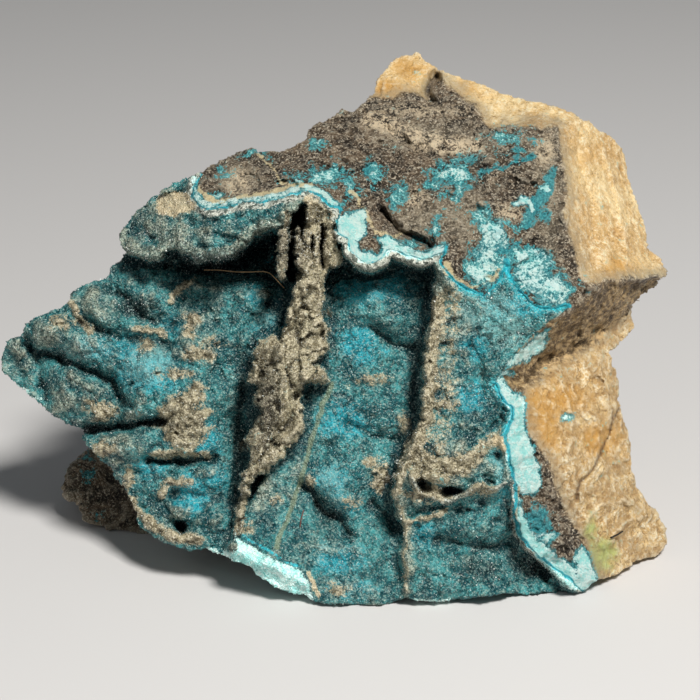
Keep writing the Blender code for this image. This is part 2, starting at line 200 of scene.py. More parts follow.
MATRIX = (
    (
        (202, 150), (251, 120), (378, 60), (585, 100), (590, 233), (609, 282), (575, 306), (541, 308),
        (530, 301), (519, 290), (510, 276), (503, 270), *TOP_CONTACT[32:11:-1], (260, 201), (212, 209),
        (194, 186),
    ),
    (
        (446, 250, 6), (460, 290, 5.5), (505, 285, 5.5), (575, 300, 4), (520, 210, 2), (450, 200, 2),
        (400, 215, 3), (365, 240, 6), (345, 226, 6), (321, 200, 4), (340, 180, 0), (300, 160, -3),
        (310, 132, -7), (345, 112, -9), (372, 98, -11), (410, 97, -10.5), (440, 85, -12), (480, 119, -7.5),
        (510, 126, -6), (556, 126, -6), (560, 165, -2.8), (565, 205, 0.5), (570, 250, 3), (480, 160, -3),
        (430, 130, -6.5), (265, 165, -4), (251, 149, -8), (275, 195, 3), (210, 200, 0),
    ),
)
TOP_STRIP = (
    (
        (355, 103), (378, 99), (410, 95), (432, 100), (442, 83), (453, 92), (473, 105), (483, 119),
        (489, 129), (510, 126), (556, 126), (610, 126), (600, 90), (417, 30), (360, 60),
    ),
    (
        (362, 103, -11), (378, 76, -14), (400, 54, -16.5), (417, 50, -16.5), (410, 95, -11),
        (432, 100, -10.5), (442, 83, -12.5), (470, 79, -14), (489, 129, -6.5), (505, 94, -13.5),
        (553, 104, -12.5), (556, 126, -6.5), (589, 120, -13.5),
    ),
)
UPPER_JASPER = (
    (
        (556, 126), (558, 142), (564, 174), (567, 205), (562, 212), (568, 233), (576, 257), (581, 276),
        (590, 292), (612, 292), (690, 286), (660, 150), (600, 110),
    ),
    (
        (556, 126, -6), (560, 165, -2.8), (566, 205, 0.5), (581, 276, 4), (609, 280, 1), (600, 130, -13.5),
        (624, 151, -17.5), (634, 194, -15), (645, 225, -13), (650, 251, -11.5), (670, 276, -10.5),
    ),
)
NOTCH = (
    (
        (496, 378), (522, 344), (539, 330), (552, 320), (570, 315), (576, 306), (589, 298), (609, 281),
        (641, 280), (690, 276), (665, 282), (630, 308), (604, 337), (581, 355), (549, 374), (522, 392),
    ),
    (
        (498, 378, 5), (552, 320, 4.5), (576, 306, 4), (609, 282, 1), (670, 276, -10), (519, 383, 2),
        (546, 366, -1.5), (578, 349, -5), (601, 333, -7.5), (630, 308, -10), (665, 282, -12.5),
    ),
)
LOWER_JASPER = (
    (
        (498, 380), (519, 383), (546, 366), (578, 349), (601, 333), (620, 340), (690, 360), (690, 600),
        (583, 600), (556, 568), (528, 546), (515, 498), (505, 442), (512, 415),
    ),
    (
        (500, 385, 5), (527, 395, 3.5), (512, 430, 6), (514, 490, 5.5), (528, 546, 4.5), (556, 568, 2.5),
        (583, 592, -0.5), (560, 470, 3), (600, 400, -4.5), (612, 355, -8), (618, 390, -8.5), (632, 450, -9),
        (647, 500, -9.5), (668, 540, -11), (636, 561, -7), (595, 581, -0.5), (580, 349, -4.5),
        (546, 366, -1),
    ),
)
KNOB = (
    ((620, 300), (650, 300), (650, 340), (611, 356), (601, 335)),
    ((630, 308, -11), (634, 327, -12), (611, 350, -10.5)),
)
SEPTUM = (
    (
        (310, 202), (321, 201), (332, 212), (335, 233), (340, 249), (342, 264), (328, 269), (326, 282),
        (323, 292), (324, 304), (321, 315), (331, 328), (326, 339), (331, 351), (315, 362), (331, 380),
        (312, 382), (304, 387), (302, 403), (302, 419), (305, 433), (291, 444), (284, 456), (274, 464),
        (258, 476), (248, 486), (246, 510), (246, 535), (234, 533), (236, 512), (239, 492), (243, 476),
        (250, 456), (250, 430), (260, 411), (256, 395), (259, 381), (248, 384), (256, 363), (257, 349),
        (259, 339), (276, 339), (284, 333), (289, 315), (294, 292), (299, 268), (294, 260), (296, 233),
        (304, 217),
    ),
    (
        (310, 205, 6), (325, 240, 5), (305, 260, 6), (300, 300, 6), (310, 340, 5), (290, 350, 6.5),
        (262, 350, 4.5), (280, 400, 6), (300, 400, 5), (258, 430, 4), (278, 440, 5), (260, 470, 4),
        (243, 500, 3), (240, 530, 3),
    ),
)
# The patches from the lowest to the topmost, and how many face steps each spreads past its outline.
PATCHES = (
    (MIDDLE_PANEL, 0), (RIGHT_PANEL, 0), (HOLLOW_UNDER_LEDGE, 0), (LEDGE, 0), (MATRIX, 9), (TOP_STRIP, 0),
    (UPPER_JASPER, 0), (KNOB, 0), (NOTCH, 0), (LOWER_JASPER, 5),
)
RAGGED = (RIGHT_PANEL, LEDGE)
FOOT_FRONT = ((60, 490, -18), (100, 525, -17), (110, 450, -20), (250, 480, -18), (200, 540, -15))
# A thin strand beside the septum's top.
STRAND = ((288, 214), (285, 232), (284, 252), (281, 276))
# Holes through the septum's crust and dents in the crusts, as (across, down, width, height, depth).
HOLES = (
    (302, 222, 3, 17, 6.0), (312, 243, 2.5, 8, 4.0), (322, 246, 2.5, 20, 5.0), (297, 276, 7, 6, 5.0),
    (421, 483, 5, 4, 3.0), (453, 491, 10, 4, 3.2), (487, 484, 8, 4, 1.2), (181, 527, 6, 7, 3.0),
)
# Tan crust on the crystals.
CRUSTS = (
    (
        (193, 380), (206, 388), (204, 401), (195, 409), (207, 407), (212, 414), (203, 428), (215, 426),
        (192, 450), (186, 455), (172, 445), (160, 430), (151, 428), (160, 420), (158, 407), (168, 402),
        (175, 396), (186, 391),
    ),
    (
        (412, 446), (440, 458), (470, 450), (502, 426), (502, 446), (486, 456), (470, 471), (446, 484),
        (411, 482), (404, 465),
    ),
)
CRUST_LINES = (
    (4, ((153, 453), (180, 454), (207, 455))),
    (4, ((161, 493), (170, 482), (191, 483))),
    (5, ((130, 498), (140, 514), (158, 530), (180, 540), (199, 540))),
    (4, ((70, 303), (78, 316), (90, 330))),
    (4, ((136, 331), (150, 329), (165, 333))),
    (3, ((172, 300), (182, 288), (190, 282))),
    (6, ((438, 300), (435, 330), (430, 366), (431, 400), (423, 434), (411, 465))),
    (4, ((416, 434), (402, 468), (398, 492))),
    (1.5, ((396, 492), (404, 523), (407, 545), (404, 571), (408, 592))),
    (3, ((403, 523), (424, 520), (446, 511))),
    (3, ((244, 484), (240, 510), (237, 531))),
)
THIN_CRUST_LINES = ((15, ((448, 300), (446, 340), (442, 380), (440, 420), (430, 450))),)
CRUST_BLOBS = (
    (198, 354, 15, 8), (193, 318, 8, 7), (190, 330, 5, 8), (146, 345, 7, 6), (104, 412, 14, 8),
    (103, 448, 11, 9), (175, 374, 17, 5), (244, 445, 5, 5), (215, 342, 8, 3), (381, 478, 9, 16),
    (482, 488, 14, 7), (444, 405, 13, 6), (310, 481, 6, 6), (352, 504, 9, 5), (373, 379, 14, 4),
    (405, 425, 5, 11), (310, 320, 5, 4), (372, 461, 8, 5), (430, 493, 30, 6), (250, 528, 5, 6),
    (275, 500, 5, 4), (330, 313, 5, 3), (90, 405, 6, 5), (128, 480, 5, 12), (62, 322, 12, 6),
    (336, 590, 9, 5),
)
# A thin pale vein over the crystals.
VEIN_LINES = (
    (2.8, ((332, 383), (321, 412), (313, 436), (307, 456), (302, 476), (294, 504), (281, 531), (276, 547))),
)
# Where the druse's rim is whitish, and where its crystals are brightest blue.
LOWER_RIDGE = ((411, 477), (418, 490), (428, 495), (448, 502), (467, 492), (482, 484), (493, 491), (505, 482))
RIM_LINES = ((7, TOP_CONTACT[1:28]), (5, RIGHT_CONTACT[9:]), (2.5, LOWER_RIDGE))
BLUE_BLOBS = (
    (175, 325, 12, 10), (150, 372, 34, 20), (135, 350, 20, 14), (258, 293, 12, 8), (271, 322, 6, 12),
    (215, 478, 12, 18), (190, 496, 22, 24), (205, 440, 16, 20), (150, 470, 14, 10), (100, 350, 20, 12),
    (330, 478, 22, 14), (345, 505, 16, 10), (335, 560, 24, 14), (350, 590, 24, 8), (300, 330, 40, 10),
    (400, 290, 24, 14), (470, 400, 20, 16), (520, 305, 36, 12), (470, 345, 20, 14), (505, 470, 8, 26),
    (360, 345, 20, 20), (345, 420, 26, 20), (424, 535, 18, 12), (355, 290, 30, 14),
)
# Where tan dust dulls the crystals.
DUST_BLOBS = (
    (446, 345, 24, 70), (445, 300, 30, 20), (455, 455, 40, 30), (165, 222, 50, 30), (48, 332, 32, 12),
    (20, 368, 18, 20), (62, 402, 34, 18), (265, 478, 24, 40), (312, 552, 28, 14), (345, 590, 40, 12),
    (115, 465, 18, 30), (160, 530, 40, 14), (90, 300, 20, 16), (200, 330, 20, 40),
    (130, 240, 20, 20), (290, 440, 20, 60), (410, 540, 12, 60), (490, 470, 20, 24),
)
# Mint and aqua chrysocolla on the rock.
MINTS = (
    (
        (500, 376), (507, 387), (513, 393), (526, 397), (524, 412), (526, 428), (532, 444), (535, 460),
        (539, 476), (539, 490), (532, 496), (521, 490), (514, 484), (511, 466), (506, 448), (506, 434),
        (509, 420), (508, 404), (501, 396), (498, 385),
    ),
    (
        (342, 214), (352, 211), (364, 210), (368, 222), (365, 230), (356, 240), (360, 250), (371, 256),
        (380, 252), (383, 246), (376, 238), (388, 238), (404, 246), (423, 251), (437, 246), (446, 244),
        (440, 255), (423, 261), (404, 257), (390, 252), (382, 260), (371, 266), (357, 261), (348, 250),
        (346, 240), (338, 234), (336, 224),
    ),
    ((504, 366), (522, 349), (549, 328), (544, 339), (539, 352), (525, 359), (511, 366)),
    (
        (235, 531), (249, 546), (269, 554), (282, 563), (298, 569), (307, 577), (313, 604), (300, 600),
        (285, 594), (268, 588), (249, 570), (236, 566), (226, 560), (224, 552), (238, 548),
    ),
    (
        (517, 490), (524, 518), (535, 537), (551, 550), (575, 570), (590, 592), (570, 590), (540, 562),
        (518, 535),
    ),
    ((575, 556), (583, 549), (590, 556), (596, 584), (586, 590), (580, 578)),
)
# Where the mint is broken up by rock.
BROKEN_MINT_LINES = (
    (4, ((194, 176), (193, 190), (201, 203), (213, 206), (243, 200), (275, 197), (306, 188))),
)
BROKEN_MINTS = (
    (
        (467, 256), (480, 245), (480, 226), (490, 217), (502, 225), (507, 240), (498, 260), (494, 284),
        (484, 290), (473, 278),
    ),
    (
        (512, 264), (525, 255), (540, 250), (550, 264), (562, 278), (574, 297), (566, 305), (551, 305),
        (540, 303), (528, 295), (518, 282),
    ),
)
MINT_LINES = (
    (3, ((306, 187), (323, 192), (334, 204))),
    (2, ((18, 385), (28, 394), (38, 399))),
    (2, ((208, 549), (222, 553), (234, 559))),
    (2, ((410, 601), (430, 602), (448, 600))),
    (2, ((515, 204), (522, 198), (530, 203), (533, 211))),
)
MINT_BLOBS = ((543, 187, 5, 5), (568, 418, 4, 3), (547, 537, 8, 4), (506, 373, 6, 3), (95, 517, 6, 4))
BLOOM_BLOBS = (
    (377, 172, 8, 14), (400, 195, 10, 9), (455, 172, 22, 12), (438, 190, 14, 7), (458, 190, 8, 16),
    (508, 157, 9, 6), (508, 137, 16, 7), (488, 222, 14, 17), (486, 268, 20, 26), (530, 262, 24, 14),
    (556, 288, 18, 14), (520, 288, 20, 8), (437, 227, 7, 11), (325, 175, 18, 12), (255, 154, 12, 6),
    (300, 182, 20, 5), (322, 146, 6, 5), (520, 225, 8, 6), (350, 190, 8, 16), (222, 176, 8, 5),
    (215, 196, 14, 5), (415, 242, 14, 5),
)
TEAL_LINES = (
    (8, ((552, 174), (545, 190), (536, 205), (528, 222))),
    (4, ((520, 243), (510, 258), (500, 272), (490, 280))),
    (4, ((480, 172), (500, 168), (520, 160), (532, 158))),
    (5, ((556, 300), (540, 318), (522, 340), (506, 362))),
)
TEAL_BLOBS = (
    (434, 183, 12, 8), (472, 158, 14, 8), (458, 182, 20, 10), (538, 520, 15, 18), (522, 150, 10, 5),
    (545, 215, 8, 10), (500, 250, 16, 10), (372, 170, 10, 10), (400, 192, 12, 8), (545, 280, 20, 10),
)
CYAN_LINES = (
    (0.9, TOP_CONTACT[1:28]),
    (1.6, TOP_CONTACT[27:]),
    (1.7, RIGHT_CONTACT),
    (1.0, ((240, 531), (252, 543), (270, 551), (284, 560), (298, 566))),
    (2.5, ((506, 262), (507, 272), (512, 280))),
)
# Where the crystals turn bright turquoise beside the rock.
HALO_LINES = ((6, TOP_CONTACT[27:]), (5, RIGHT_CONTACT[:9]), (2, RIGHT_CONTACT[8:]), (2, TOP_CONTACT[1:28]))
CREAM_LINES = (
    (2.6, ((198, 188), (205, 198), (222, 201), (250, 195), (275, 192), (300, 185), (312, 185))),
    (1.6, ((501, 392), (510, 402), (514, 409))),
    (1.7, ((519, 488), (517, 508), (521, 530), (534, 546), (559, 563))),
    (1.6, ((443, 262), (458, 282), (474, 287), (490, 283), (500, 268))),
    (1.4, ((350, 190), (362, 206), (372, 222), (374, 234), (392, 236), (410, 232))),
    (2.4, ((308, 572), (314, 584), (319, 598))),
    (1.5, ((259, 154), (269, 165), (283, 183), (290, 189))),
)
CREAM_BLOBS = ((175, 204, 20, 13), (310, 200, 7, 5), (448, 268, 7, 8), (501, 443, 10, 9), (490, 277, 10, 5))
# Where the crystals look bluish white; where shade is painted on the crystals and crust, and darker rock
# facets.
PALE_BLOBS = (
    (480, 308, 46, 20), (505, 330, 25, 22), (150, 365, 28, 22), (82, 350, 26, 14), (266, 320, 9, 9),
    (500, 470, 12, 18), (330, 480, 14, 16), (340, 500, 12, 8),
)
SHADE_BLOBS = (
    (230, 262, 60, 14), (292, 248, 14, 26), (535, 568, 26, 14), (412, 350, 4, 60), (238, 440, 6, 60),
    (325, 512, 14, 20), (105, 425, 50, 4), (135, 308, 24, 12), (515, 562, 10, 12), (480, 565, 24, 12),
    (267, 408, 14, 42), (398, 108, 32, 9), (462, 112, 18, 14), (438, 110, 12, 10),
    (385, 148, 12, 6), (500, 178, 26, 12), (370, 190, 10, 14), (340, 128, 18, 8),
)
# Where more crystals are painted white as glints.
SPARK_BLOBS = (
    (143, 357, 9, 8), (152, 332, 11, 6), (231, 364, 7, 5), (382, 402, 4, 3), (391, 421, 6, 5),
    (355, 549, 8, 12), (242, 488, 6, 8), (340, 497, 5, 4), (355, 512, 5, 4), (262, 218, 30, 8),
    (200, 258, 40, 5), (460, 300, 30, 8), (400, 478, 8, 14), (455, 500, 26, 4), (60, 420, 30, 8),
    (130, 262, 14, 6), (215, 230, 20, 12), (150, 240, 30, 14), (135, 312, 24, 14), (470, 570, 40, 18),
    (90, 350, 40, 20), (262, 448, 6, 10), (310, 240, 14, 34),
)
# Where the rock is paler.
BRIGHT_BLOBS = (
    (425, 134, 50, 12), (505, 140, 40, 12), (465, 215, 34, 30), (548, 200, 14, 80), (235, 180, 30, 18),
    (420, 222, 26, 20),
)
# The markings that fade out on the walls.
FACE_MARKS = (
    "bright", "rim", "blue", "vein", "bloom", "teal", "mint", "cyan", "halo", "cream", "notch", "speckle",
    "green", "crack", "raised",
)
ORANGE_BLOBS = (
    (540, 425, 22, 50), (562, 400, 30, 16), (466, 86, 14, 10), (586, 157, 10, 8), (600, 440, 22, 20),
    (424, 68, 22, 12), (390, 86, 24, 12), (405, 72, 14, 20), (620, 270, 20, 10),
)
GREEN_BLOBS = ((603, 556, 14, 18), (592, 528, 8, 12))
JASPER_CRACK = ((618, 409), (610, 429), (602, 453), (590, 472), (579, 482), (577, 501))
PEAK_CRACK = ((437, 77), (430, 86), (427, 95), (433, 101))
CRACK_LINES = ((1.1, JASPER_CRACK), (2.5, PEAK_CRACK))
SPECKLE_LINES = ((9, ((372, 120), (389, 126), (402, 132), (419, 140), (445, 145), (475, 149))),)
SPECKLE_BLOBS = (
    (237, 182, 12, 12), (420, 110, 30, 4), (505, 215, 20, 8), (545, 150, 8, 12), (412, 196, 12, 8),
    (91, 517, 8, 7),
)
# Lint lying on the stone: (radius in millimetres, colour, points).
FIBRES = (
    (
        0.075, (226, 186, 140),
        ((202, 270), (221, 270), (235, 272), (251, 272), (268, 271), (277, 280), (285, 289)),
    ),
    (0.08, (96, 52, 40), ((304, 509), (301, 519), (300, 528))),
    (0.11, (30, 26, 22), ((610, 538), (617, 535), (623, 531))),
)
# How fast the walls draw in behind the outline, in millimetres a millimetre, around the map.
WALL_LEAN = (
    (350, 620, 0.14), (560, 590, 0.16), (230, 560, 0.3), (100, 450, 0.6), (20, 350, 0.6), (200, 170, 0.4),
    (310, 130, 0.4), (400, 50, 0.6), (500, 90, 0.4), (620, 150, 0.45), (660, 270, 0.6), (620, 370, 0.4),
    (660, 540, 0.25),
)
# Domes and dents of (across, down, radius, height), the radius in face steps.
LUMPS = (
    (76, 390, 34, 2.8), (139, 405, 26, 3.0), (50, 334, 28, 2.2), (94, 306, 24, 2.6), (145, 302, 24, 2.0),
    (90, 345, 26, 1.4), (20, 345, 14, 1.2), (138, 276, 20, 2.0), (150, 380, 24, 1.2), (180, 345, 22, 1.2),
    (130, 450, 30, 2.2), (205, 475, 26, 1.6), (165, 505, 26, 1.2), (215, 520, 24, 1.2), (185, 410, 28, 1.8),
    (150, 355, 20, 1.4), (255, 293, 20, 2.6), (268, 322, 13, 2.0), (275, 555, 22, 1.6), (340, 490, 26, 2.2),
    (365, 545, 30, 1.6), (385, 315, 26, 1.2), (372, 296, 20, 1.6), (365, 372, 26, 1.0), (455, 460, 30, 1.6),
    (443, 408, 20, 1.0), (470, 530, 26, 1.2), (420, 565, 22, 1.4), (181, 527, 9, -2.5),
    (450, 492, 12, -2.0), (540, 568, 26, -1.8), (425, 488, 9, -2.0),
)
# Furrows and ridges of (width in face steps, height, points they run through).
FURROWS = (
    (7, -3.0, ((26, 344), (42, 352), (60, 360), (90, 372), (112, 380), (120, 400), (118, 412))),
    (5, -3.4, ((86, 430), (110, 428), (135, 425), (166, 422))),
    (8, -2.2, ((108, 288), (122, 300), (140, 316), (165, 324))),
    (7, -2.0, ((82, 322), (104, 334), (130, 340), (165, 344))),
    (6, -1.8, ((36, 356), (40, 376), (46, 400))),
    (5, -2.6, ((150, 460), (180, 462), (212, 460))),
    (9, -1.6, ((165, 496), (190, 490), (215, 498))),
    (7, -2.2, ((303, 486), (312, 492), (316, 504), (327, 514), (340, 520), (346, 534))),
    (6, -1.6, ((372, 504), (386, 516), (400, 526))),
    (3, 2.0, LOWER_RIDGE),
    (5, -3.0, PEAK_CRACK),
    (2, -0.8, JASPER_CRACK),
    (4, 1.0, ((585, 520), (600, 506), (625, 500), (640, 510))),
    (4, 0.9, ((604, 548), (625, 522), (648, 516))),
    (4, 0.8, ((560, 380), (574, 420), (566, 460), (582, 500))),
    (5, 0.9, ((600, 360), (606, 390), (612, 420))),
    (5, -1.0, ((575, 150), (590, 200), (594, 262))),
    (4, 0.9, ((604, 150), (620, 200), (628, 262))),
    (6, -1.6, ((350, 425), (375, 436), (398, 440))),
    (4, -1.4, ((385, 128), (420, 152), (466, 158))),
    (8, -2.0, ((375, 330), (395, 345), (415, 350))),
    (8, -1.6, ((438, 540), (470, 548), (510, 545))),
    (7, -2.2, ((244, 385), (240, 410), (238, 450), (232, 500))),
    (6, 1.2, ((236, 550), (262, 563), (290, 576), (308, 588))),
    (3.5, -3.2, ((382, 212), (394, 224), (406, 233), (430, 245))),
    (7, 1.2, ((428, 330), (427, 380), (416, 440), (398, 480), (400, 515), (408, 560), (406, 590))),
    (8, 1.0, ((415, 480), (450, 484), (492, 488))),
)
# Broken planes of the back, as (azimuth, elevation, distance from the core), the angles in degrees.
BACK_PLANES = (
    (92, 2, 25.5), (136, 10, 30.0), (48, 4, 33.0), (108, 50, 37.0), (75, -36, 27.0), (152, -24, 34.0),
    (160, 42, 36.0), (20, 34, 40.0),
)

# ---------------------------------------------------------------- steady noise

CORNERS = [(i, j, k) for i in (0, 1) for j in (0, 1) for k in (0, 1)]
AROUND = [(i, j, k) for i in (-1, 0, 1) for j in (-1, 0, 1) for k in (-1, 0, 1)]
HASH_PRIMES = (374761393, 668265263, 2246822519)
HASH_MIX = 1274126177
HASH_BITS = 0xFFFFFFFF
SEED_STRIDE = 101
FAR_OFF = 9.0  # further than any spot in the cells round a point


def hashed(cells, seed):
    """A steady number from 0 to 1 for each whole-numbered cell."""
    mixed = sum(cells[..., axis] * prime for axis, prime in enumerate(HASH_PRIMES))
    mixed = mixed + seed * SEED_STRIDE * HASH_MIX
    mixed = ((mixed & HASH_BITS) ^ ((mixed & HASH_BITS) >> 13)) * HASH_MIX & HASH_BITS
    mixed = (mixed ^ (mixed >> 15)) * HASH_PRIMES[0] & HASH_BITS
    return (mixed ^ (mixed >> 16)) / HASH_BITS


def swell(points, size, seed):
    """Smooth noise, about -1 to 1, that rises and falls over the given size."""
    scaled = points / size
    cell = np.floor(scaled).astype(np.int64)
    share = scaled - cell
    fade = share * share * share * (share * (share * 6 - 15) + 10)
    total = 0
    for corner in CORNERS:
        reach = share - corner
        slope = sum((hashed(cell + corner, seed + axis) * 2 - 1) * reach[..., axis] for axis in range(3))
        total = total + slope * np.where(corner, fade, 1 - fade).prod(axis=-1)
    return total * 1.3


def fractal(points, size, octaves, seed):
    """Noise with ever finer detail, about -1 to 1."""
    return sum(swell(points, size / 2**octave, seed + 10 * octave) / 2**octave for octave in range(octaves))


def pebbled(points, size, seed):
    """Rounded domes packed together: 1 at each dome's top, falling to about 0 in the creases."""
    scaled = points / size
    cell = np.floor(scaled).astype(np.int64)
    nearest = np.full(scaled.shape[:-1], FAR_OFF)
    for offset in AROUND:
        place = cell + offset
        square = 0
        for axis in range(3):
            square = square + (place[..., axis] + hashed(place, seed + axis) - scaled[..., axis]) ** 2
        nearest = np.minimum(nearest, square)
    return 1 - np.minimum(nearest, 1)


def spots_round(points, size, seed):
    """For each cell round each point: the cell, the way from its random spot, and that way squared."""
    scaled = points / size
    cell = np.floor(scaled).astype(np.int64)
    for offset in AROUND:
        place = cell + offset
        reach = [scaled[..., axis] - place[..., axis] - hashed(place, seed + axis) for axis in range(3)]
        yield place, reach, sum(side * side for side in reach)


def chipped(points, size, seed):
    """Small flat facets at odd tilts, as rock breaks: about -0.5 to 0.5, stepped where two meet."""
    nearest = np.full(points.shape[:-1], FAR_OFF)
    height = np.zeros(points.shape[:-1])
    for place, reach, square in spots_round(points, size, seed):
        tilted = sum(side * (hashed(place, seed + 5 + axis) - 0.5) for axis, side in enumerate(reach))
        closer = square < nearest
        nearest = np.where(closer, square, nearest)
        height = np.where(closer, tilted, height)
    return height


def plated(points, size, seed):
    """Blocks of uneven height with crevices between them: from about -1 to 0.5 on the blocks' tops."""
    nearest = np.full(points.shape[:-1], FAR_OFF)
    second = np.full(points.shape[:-1], FAR_OFF)
    height = np.zeros(points.shape[:-1])
    for place, reach, square in spots_round(points, size, seed):
        closer = square < nearest
        second = np.where(closer, nearest, np.minimum(second, square))
        nearest = np.where(closer, square, nearest)
        block_top = hashed(place, seed + 5) - 0.5 + reach[1] * (hashed(place, seed + 6) - 0.5)
        height = np.where(closer, block_top, height)
    return height - 0.7 * smooth(0.16, 0.02, np.sqrt(second) - np.sqrt(nearest))


def smooth(low, high, value):
    """0 below low, 1 above high, with a soft step between."""
    share = np.clip((value - low) / (high - low), 0, 1)
    return share * share * (3 - 2 * share)


# ---------------------------------------------------------------- measures over the face map


def outline_distance(outline, across, down):
    """Distance of each map point from a closed outline, in face steps, negative inside it."""
    distance = np.full(across.shape, np.inf)
    inside = np.zeros(across.shape, bool)
    for (x0, y0), (x1, y1) in zip(outline, outline[1:] + outline[:1]):
        run, fall = x1 - x0, y1 - y0
        share = ((across - x0) * run + (down - y0) * fall) / (run * run + fall * fall)
        share = np.clip(share, 0, 1)
        distance = np.minimum(distance, np.hypot(across - x0 - share * run, down - y0 - share * fall))
        if fall:
            inside ^= ((y0 > down) != (y1 > down)) & (across < x0 + (down - y0) * run / fall)
    return np.where(inside, -distance, distance)


def line_distance(points, across, down):
    """Distance of each map point from an open line, in face steps."""
    return abs(outline_distance(points + points[-2:0:-1], across, down))


def spline_terms(across, down, spots):
    """Thin-plate kernel between map points and spots, then the terms of a plane."""
    square = (across[..., None] - spots[:, 0]) ** 2 + (down[..., None] - spots[:, 1]) ** 2
    kernel = square * np.log(square + 1)
    level = np.ones_like(kernel[..., :1])
    return np.concatenate([kernel, level, across[..., None], down[..., None]], axis=-1)


def sheet_through(spots, across, down):
    """Height of the smoothest sheet through spots of (across, down, height)."""
    spots = np.array(spots, float)
    count = len(spots)
    terms = spline_terms(spots[:, 0], spots[:, 1], spots)
    system = np.zeros((count + 3, count + 3))
    system[:count] = terms
    system[count:, :count] = terms[:, count:].T
    heights = np.append(spots[:, 2], (0, 0, 0))
    return spline_terms(across, down, spots) @ np.linalg.solve(system, heights)


def map_noise(across, down, size, octaves, seed):
    """Noise over the map, its size in face steps."""
    points = np.stack([across, down, np.full_like(across, seed * 37.0)], axis=-1)
    return fractal(points, size, octaves, seed)


def nearby(height, cells, summary):
    """A summary, such as the lowest or the mean, of the heights within some cells of each map point."""
    for axis in (0, 1):
        shifted = [np.roll(height, shift, axis) for shift in range(-cells, cells + 1)]
        height = summary(shifted, axis=0)
    return height


# ---------------------------------------------------------------- the relief


def wandering(across, down, reach, size, seed):
    """The map points moved about a little, so that outlines wander as broken stone's do."""
    sideways = reach * map_noise(across, down, size, 2, seed)
    downwards = reach * map_noise(across, down, size, 2, seed + 1)
    return across + sideways, down + downwards


def outlined(across, down):
    """The map points for measuring from wandering outlines, then for ragged ones, which wander more."""
    over, along = wandering(across, down, 2.2, 16, 1)
    return over, along, *wandering(over, along, 3.5, 9, 3)


def covered(across, down, outlines=(), lines=(), blobs=(), soft=3.0):
    """1 inside any outline or blob and within the width of any line, 0 away from them all."""
    cover = np.zeros(across.shape)
    for outline in outlines:
        cover = np.maximum(cover, smooth(soft, -soft, outline_distance(outline, across, down)))
    for width, points in lines:
        away = line_distance(points, across, down)
        cover = np.maximum(cover, smooth(width + soft / 2, width - soft / 2, away))
    for x, y, wide, tall in blobs:
        away = (np.hypot((across - x) / wide, (down - y) / tall) - 1) * min(wide, tall)
        cover = np.maximum(cover, smooth(soft, -soft, away))
    return cover


def ridged(noise):
    """Noise turned into sharp crests, from 0 in the troughs to 1 on the crests."""
    return 1 - np.minimum(abs(noise) * 2, 1)


def septum_cover(ragged_over, ragged_along):
    """Where the septum lies, with spurs at its edges."""
    spurs = wandering(ragged_over, ragged_along, 3.0, 6, 11)
    return covered(*spurs, [SEPTUM[0]], [(4, STRAND)], soft=2.5)


def painted(across, down):
    """Map rasters of what the face is made of.

    The druse and the jasper are distances in face steps, positive inside. The rest are covers from 0 to 1.
    """
    over, along, ragged_over, ragged_along = outlined(across, down)
    jasper = np.minimum(
        outline_distance(UPPER_JASPER_OUTLINE, over, along),
        outline_distance(LOWER_JASPER_OUTLINE, over, along),
    )
    plain = functools.partial(covered, over, along)
    ragged = functools.partial(covered, ragged_over, ragged_along)
    return {
        "druse": -outline_distance(DRUSE, over, along),
        "jasper": -jasper,
        "notch": plain([NOTCH[0]]),
        "crust": np.maximum.reduce([
            septum_cover(ragged_over, ragged_along),
            ragged(CRUSTS, CRUST_LINES, CRUST_BLOBS, soft=6.5),
            0.5 * ragged(lines=THIN_CRUST_LINES, soft=10.0),
        ]),
        "rim": plain(lines=RIM_LINES, soft=5.0),
        "blue": ragged(blobs=BLUE_BLOBS, soft=20.0),
        "dull": smooth(-3, 3, -outline_distance(LOWER_JASPER_OUTLINE, over, along)),
        "mint": np.maximum.reduce([
            ragged(MINTS, MINT_LINES, MINT_BLOBS, soft=4.0),
            0.6 * covered(*wandering(ragged_over, ragged_along, 7, 14, 13), BROKEN_MINTS, soft=8.0),
            0.6 * plain(lines=BROKEN_MINT_LINES, soft=4.0),
        ]),
        "spark": ragged(blobs=SPARK_BLOBS, soft=6.0),
        "bloom": covered(*wandering(over, along, 9, 18, 7), blobs=BLOOM_BLOBS, soft=12.0),
        "bright": plain(blobs=BRIGHT_BLOBS, soft=24.0),
        "teal": ragged(lines=TEAL_LINES, blobs=TEAL_BLOBS, soft=12.0),
        "dust": ragged(blobs=DUST_BLOBS, soft=20.0),
        "cyan": plain(lines=CYAN_LINES, soft=2.0),
        "halo": plain(lines=HALO_LINES, soft=8.0),
        "cream": ragged(lines=CREAM_LINES, blobs=CREAM_BLOBS, soft=3.0),
        "vein": plain(lines=VEIN_LINES, soft=1.6),
        "pale": ragged(blobs=PALE_BLOBS, soft=14.0),
        "shade": plain(blobs=SHADE_BLOBS, soft=8.0),
        "orange": ragged(blobs=ORANGE_BLOBS, soft=14.0),
        "green": ragged(blobs=GREEN_BLOBS, soft=8.0),
        "crack": plain(lines=CRACK_LINES, soft=1.6),
        "speckle": ragged(lines=SPECKLE_LINES, blobs=SPECKLE_BLOBS, soft=8.0),
    }


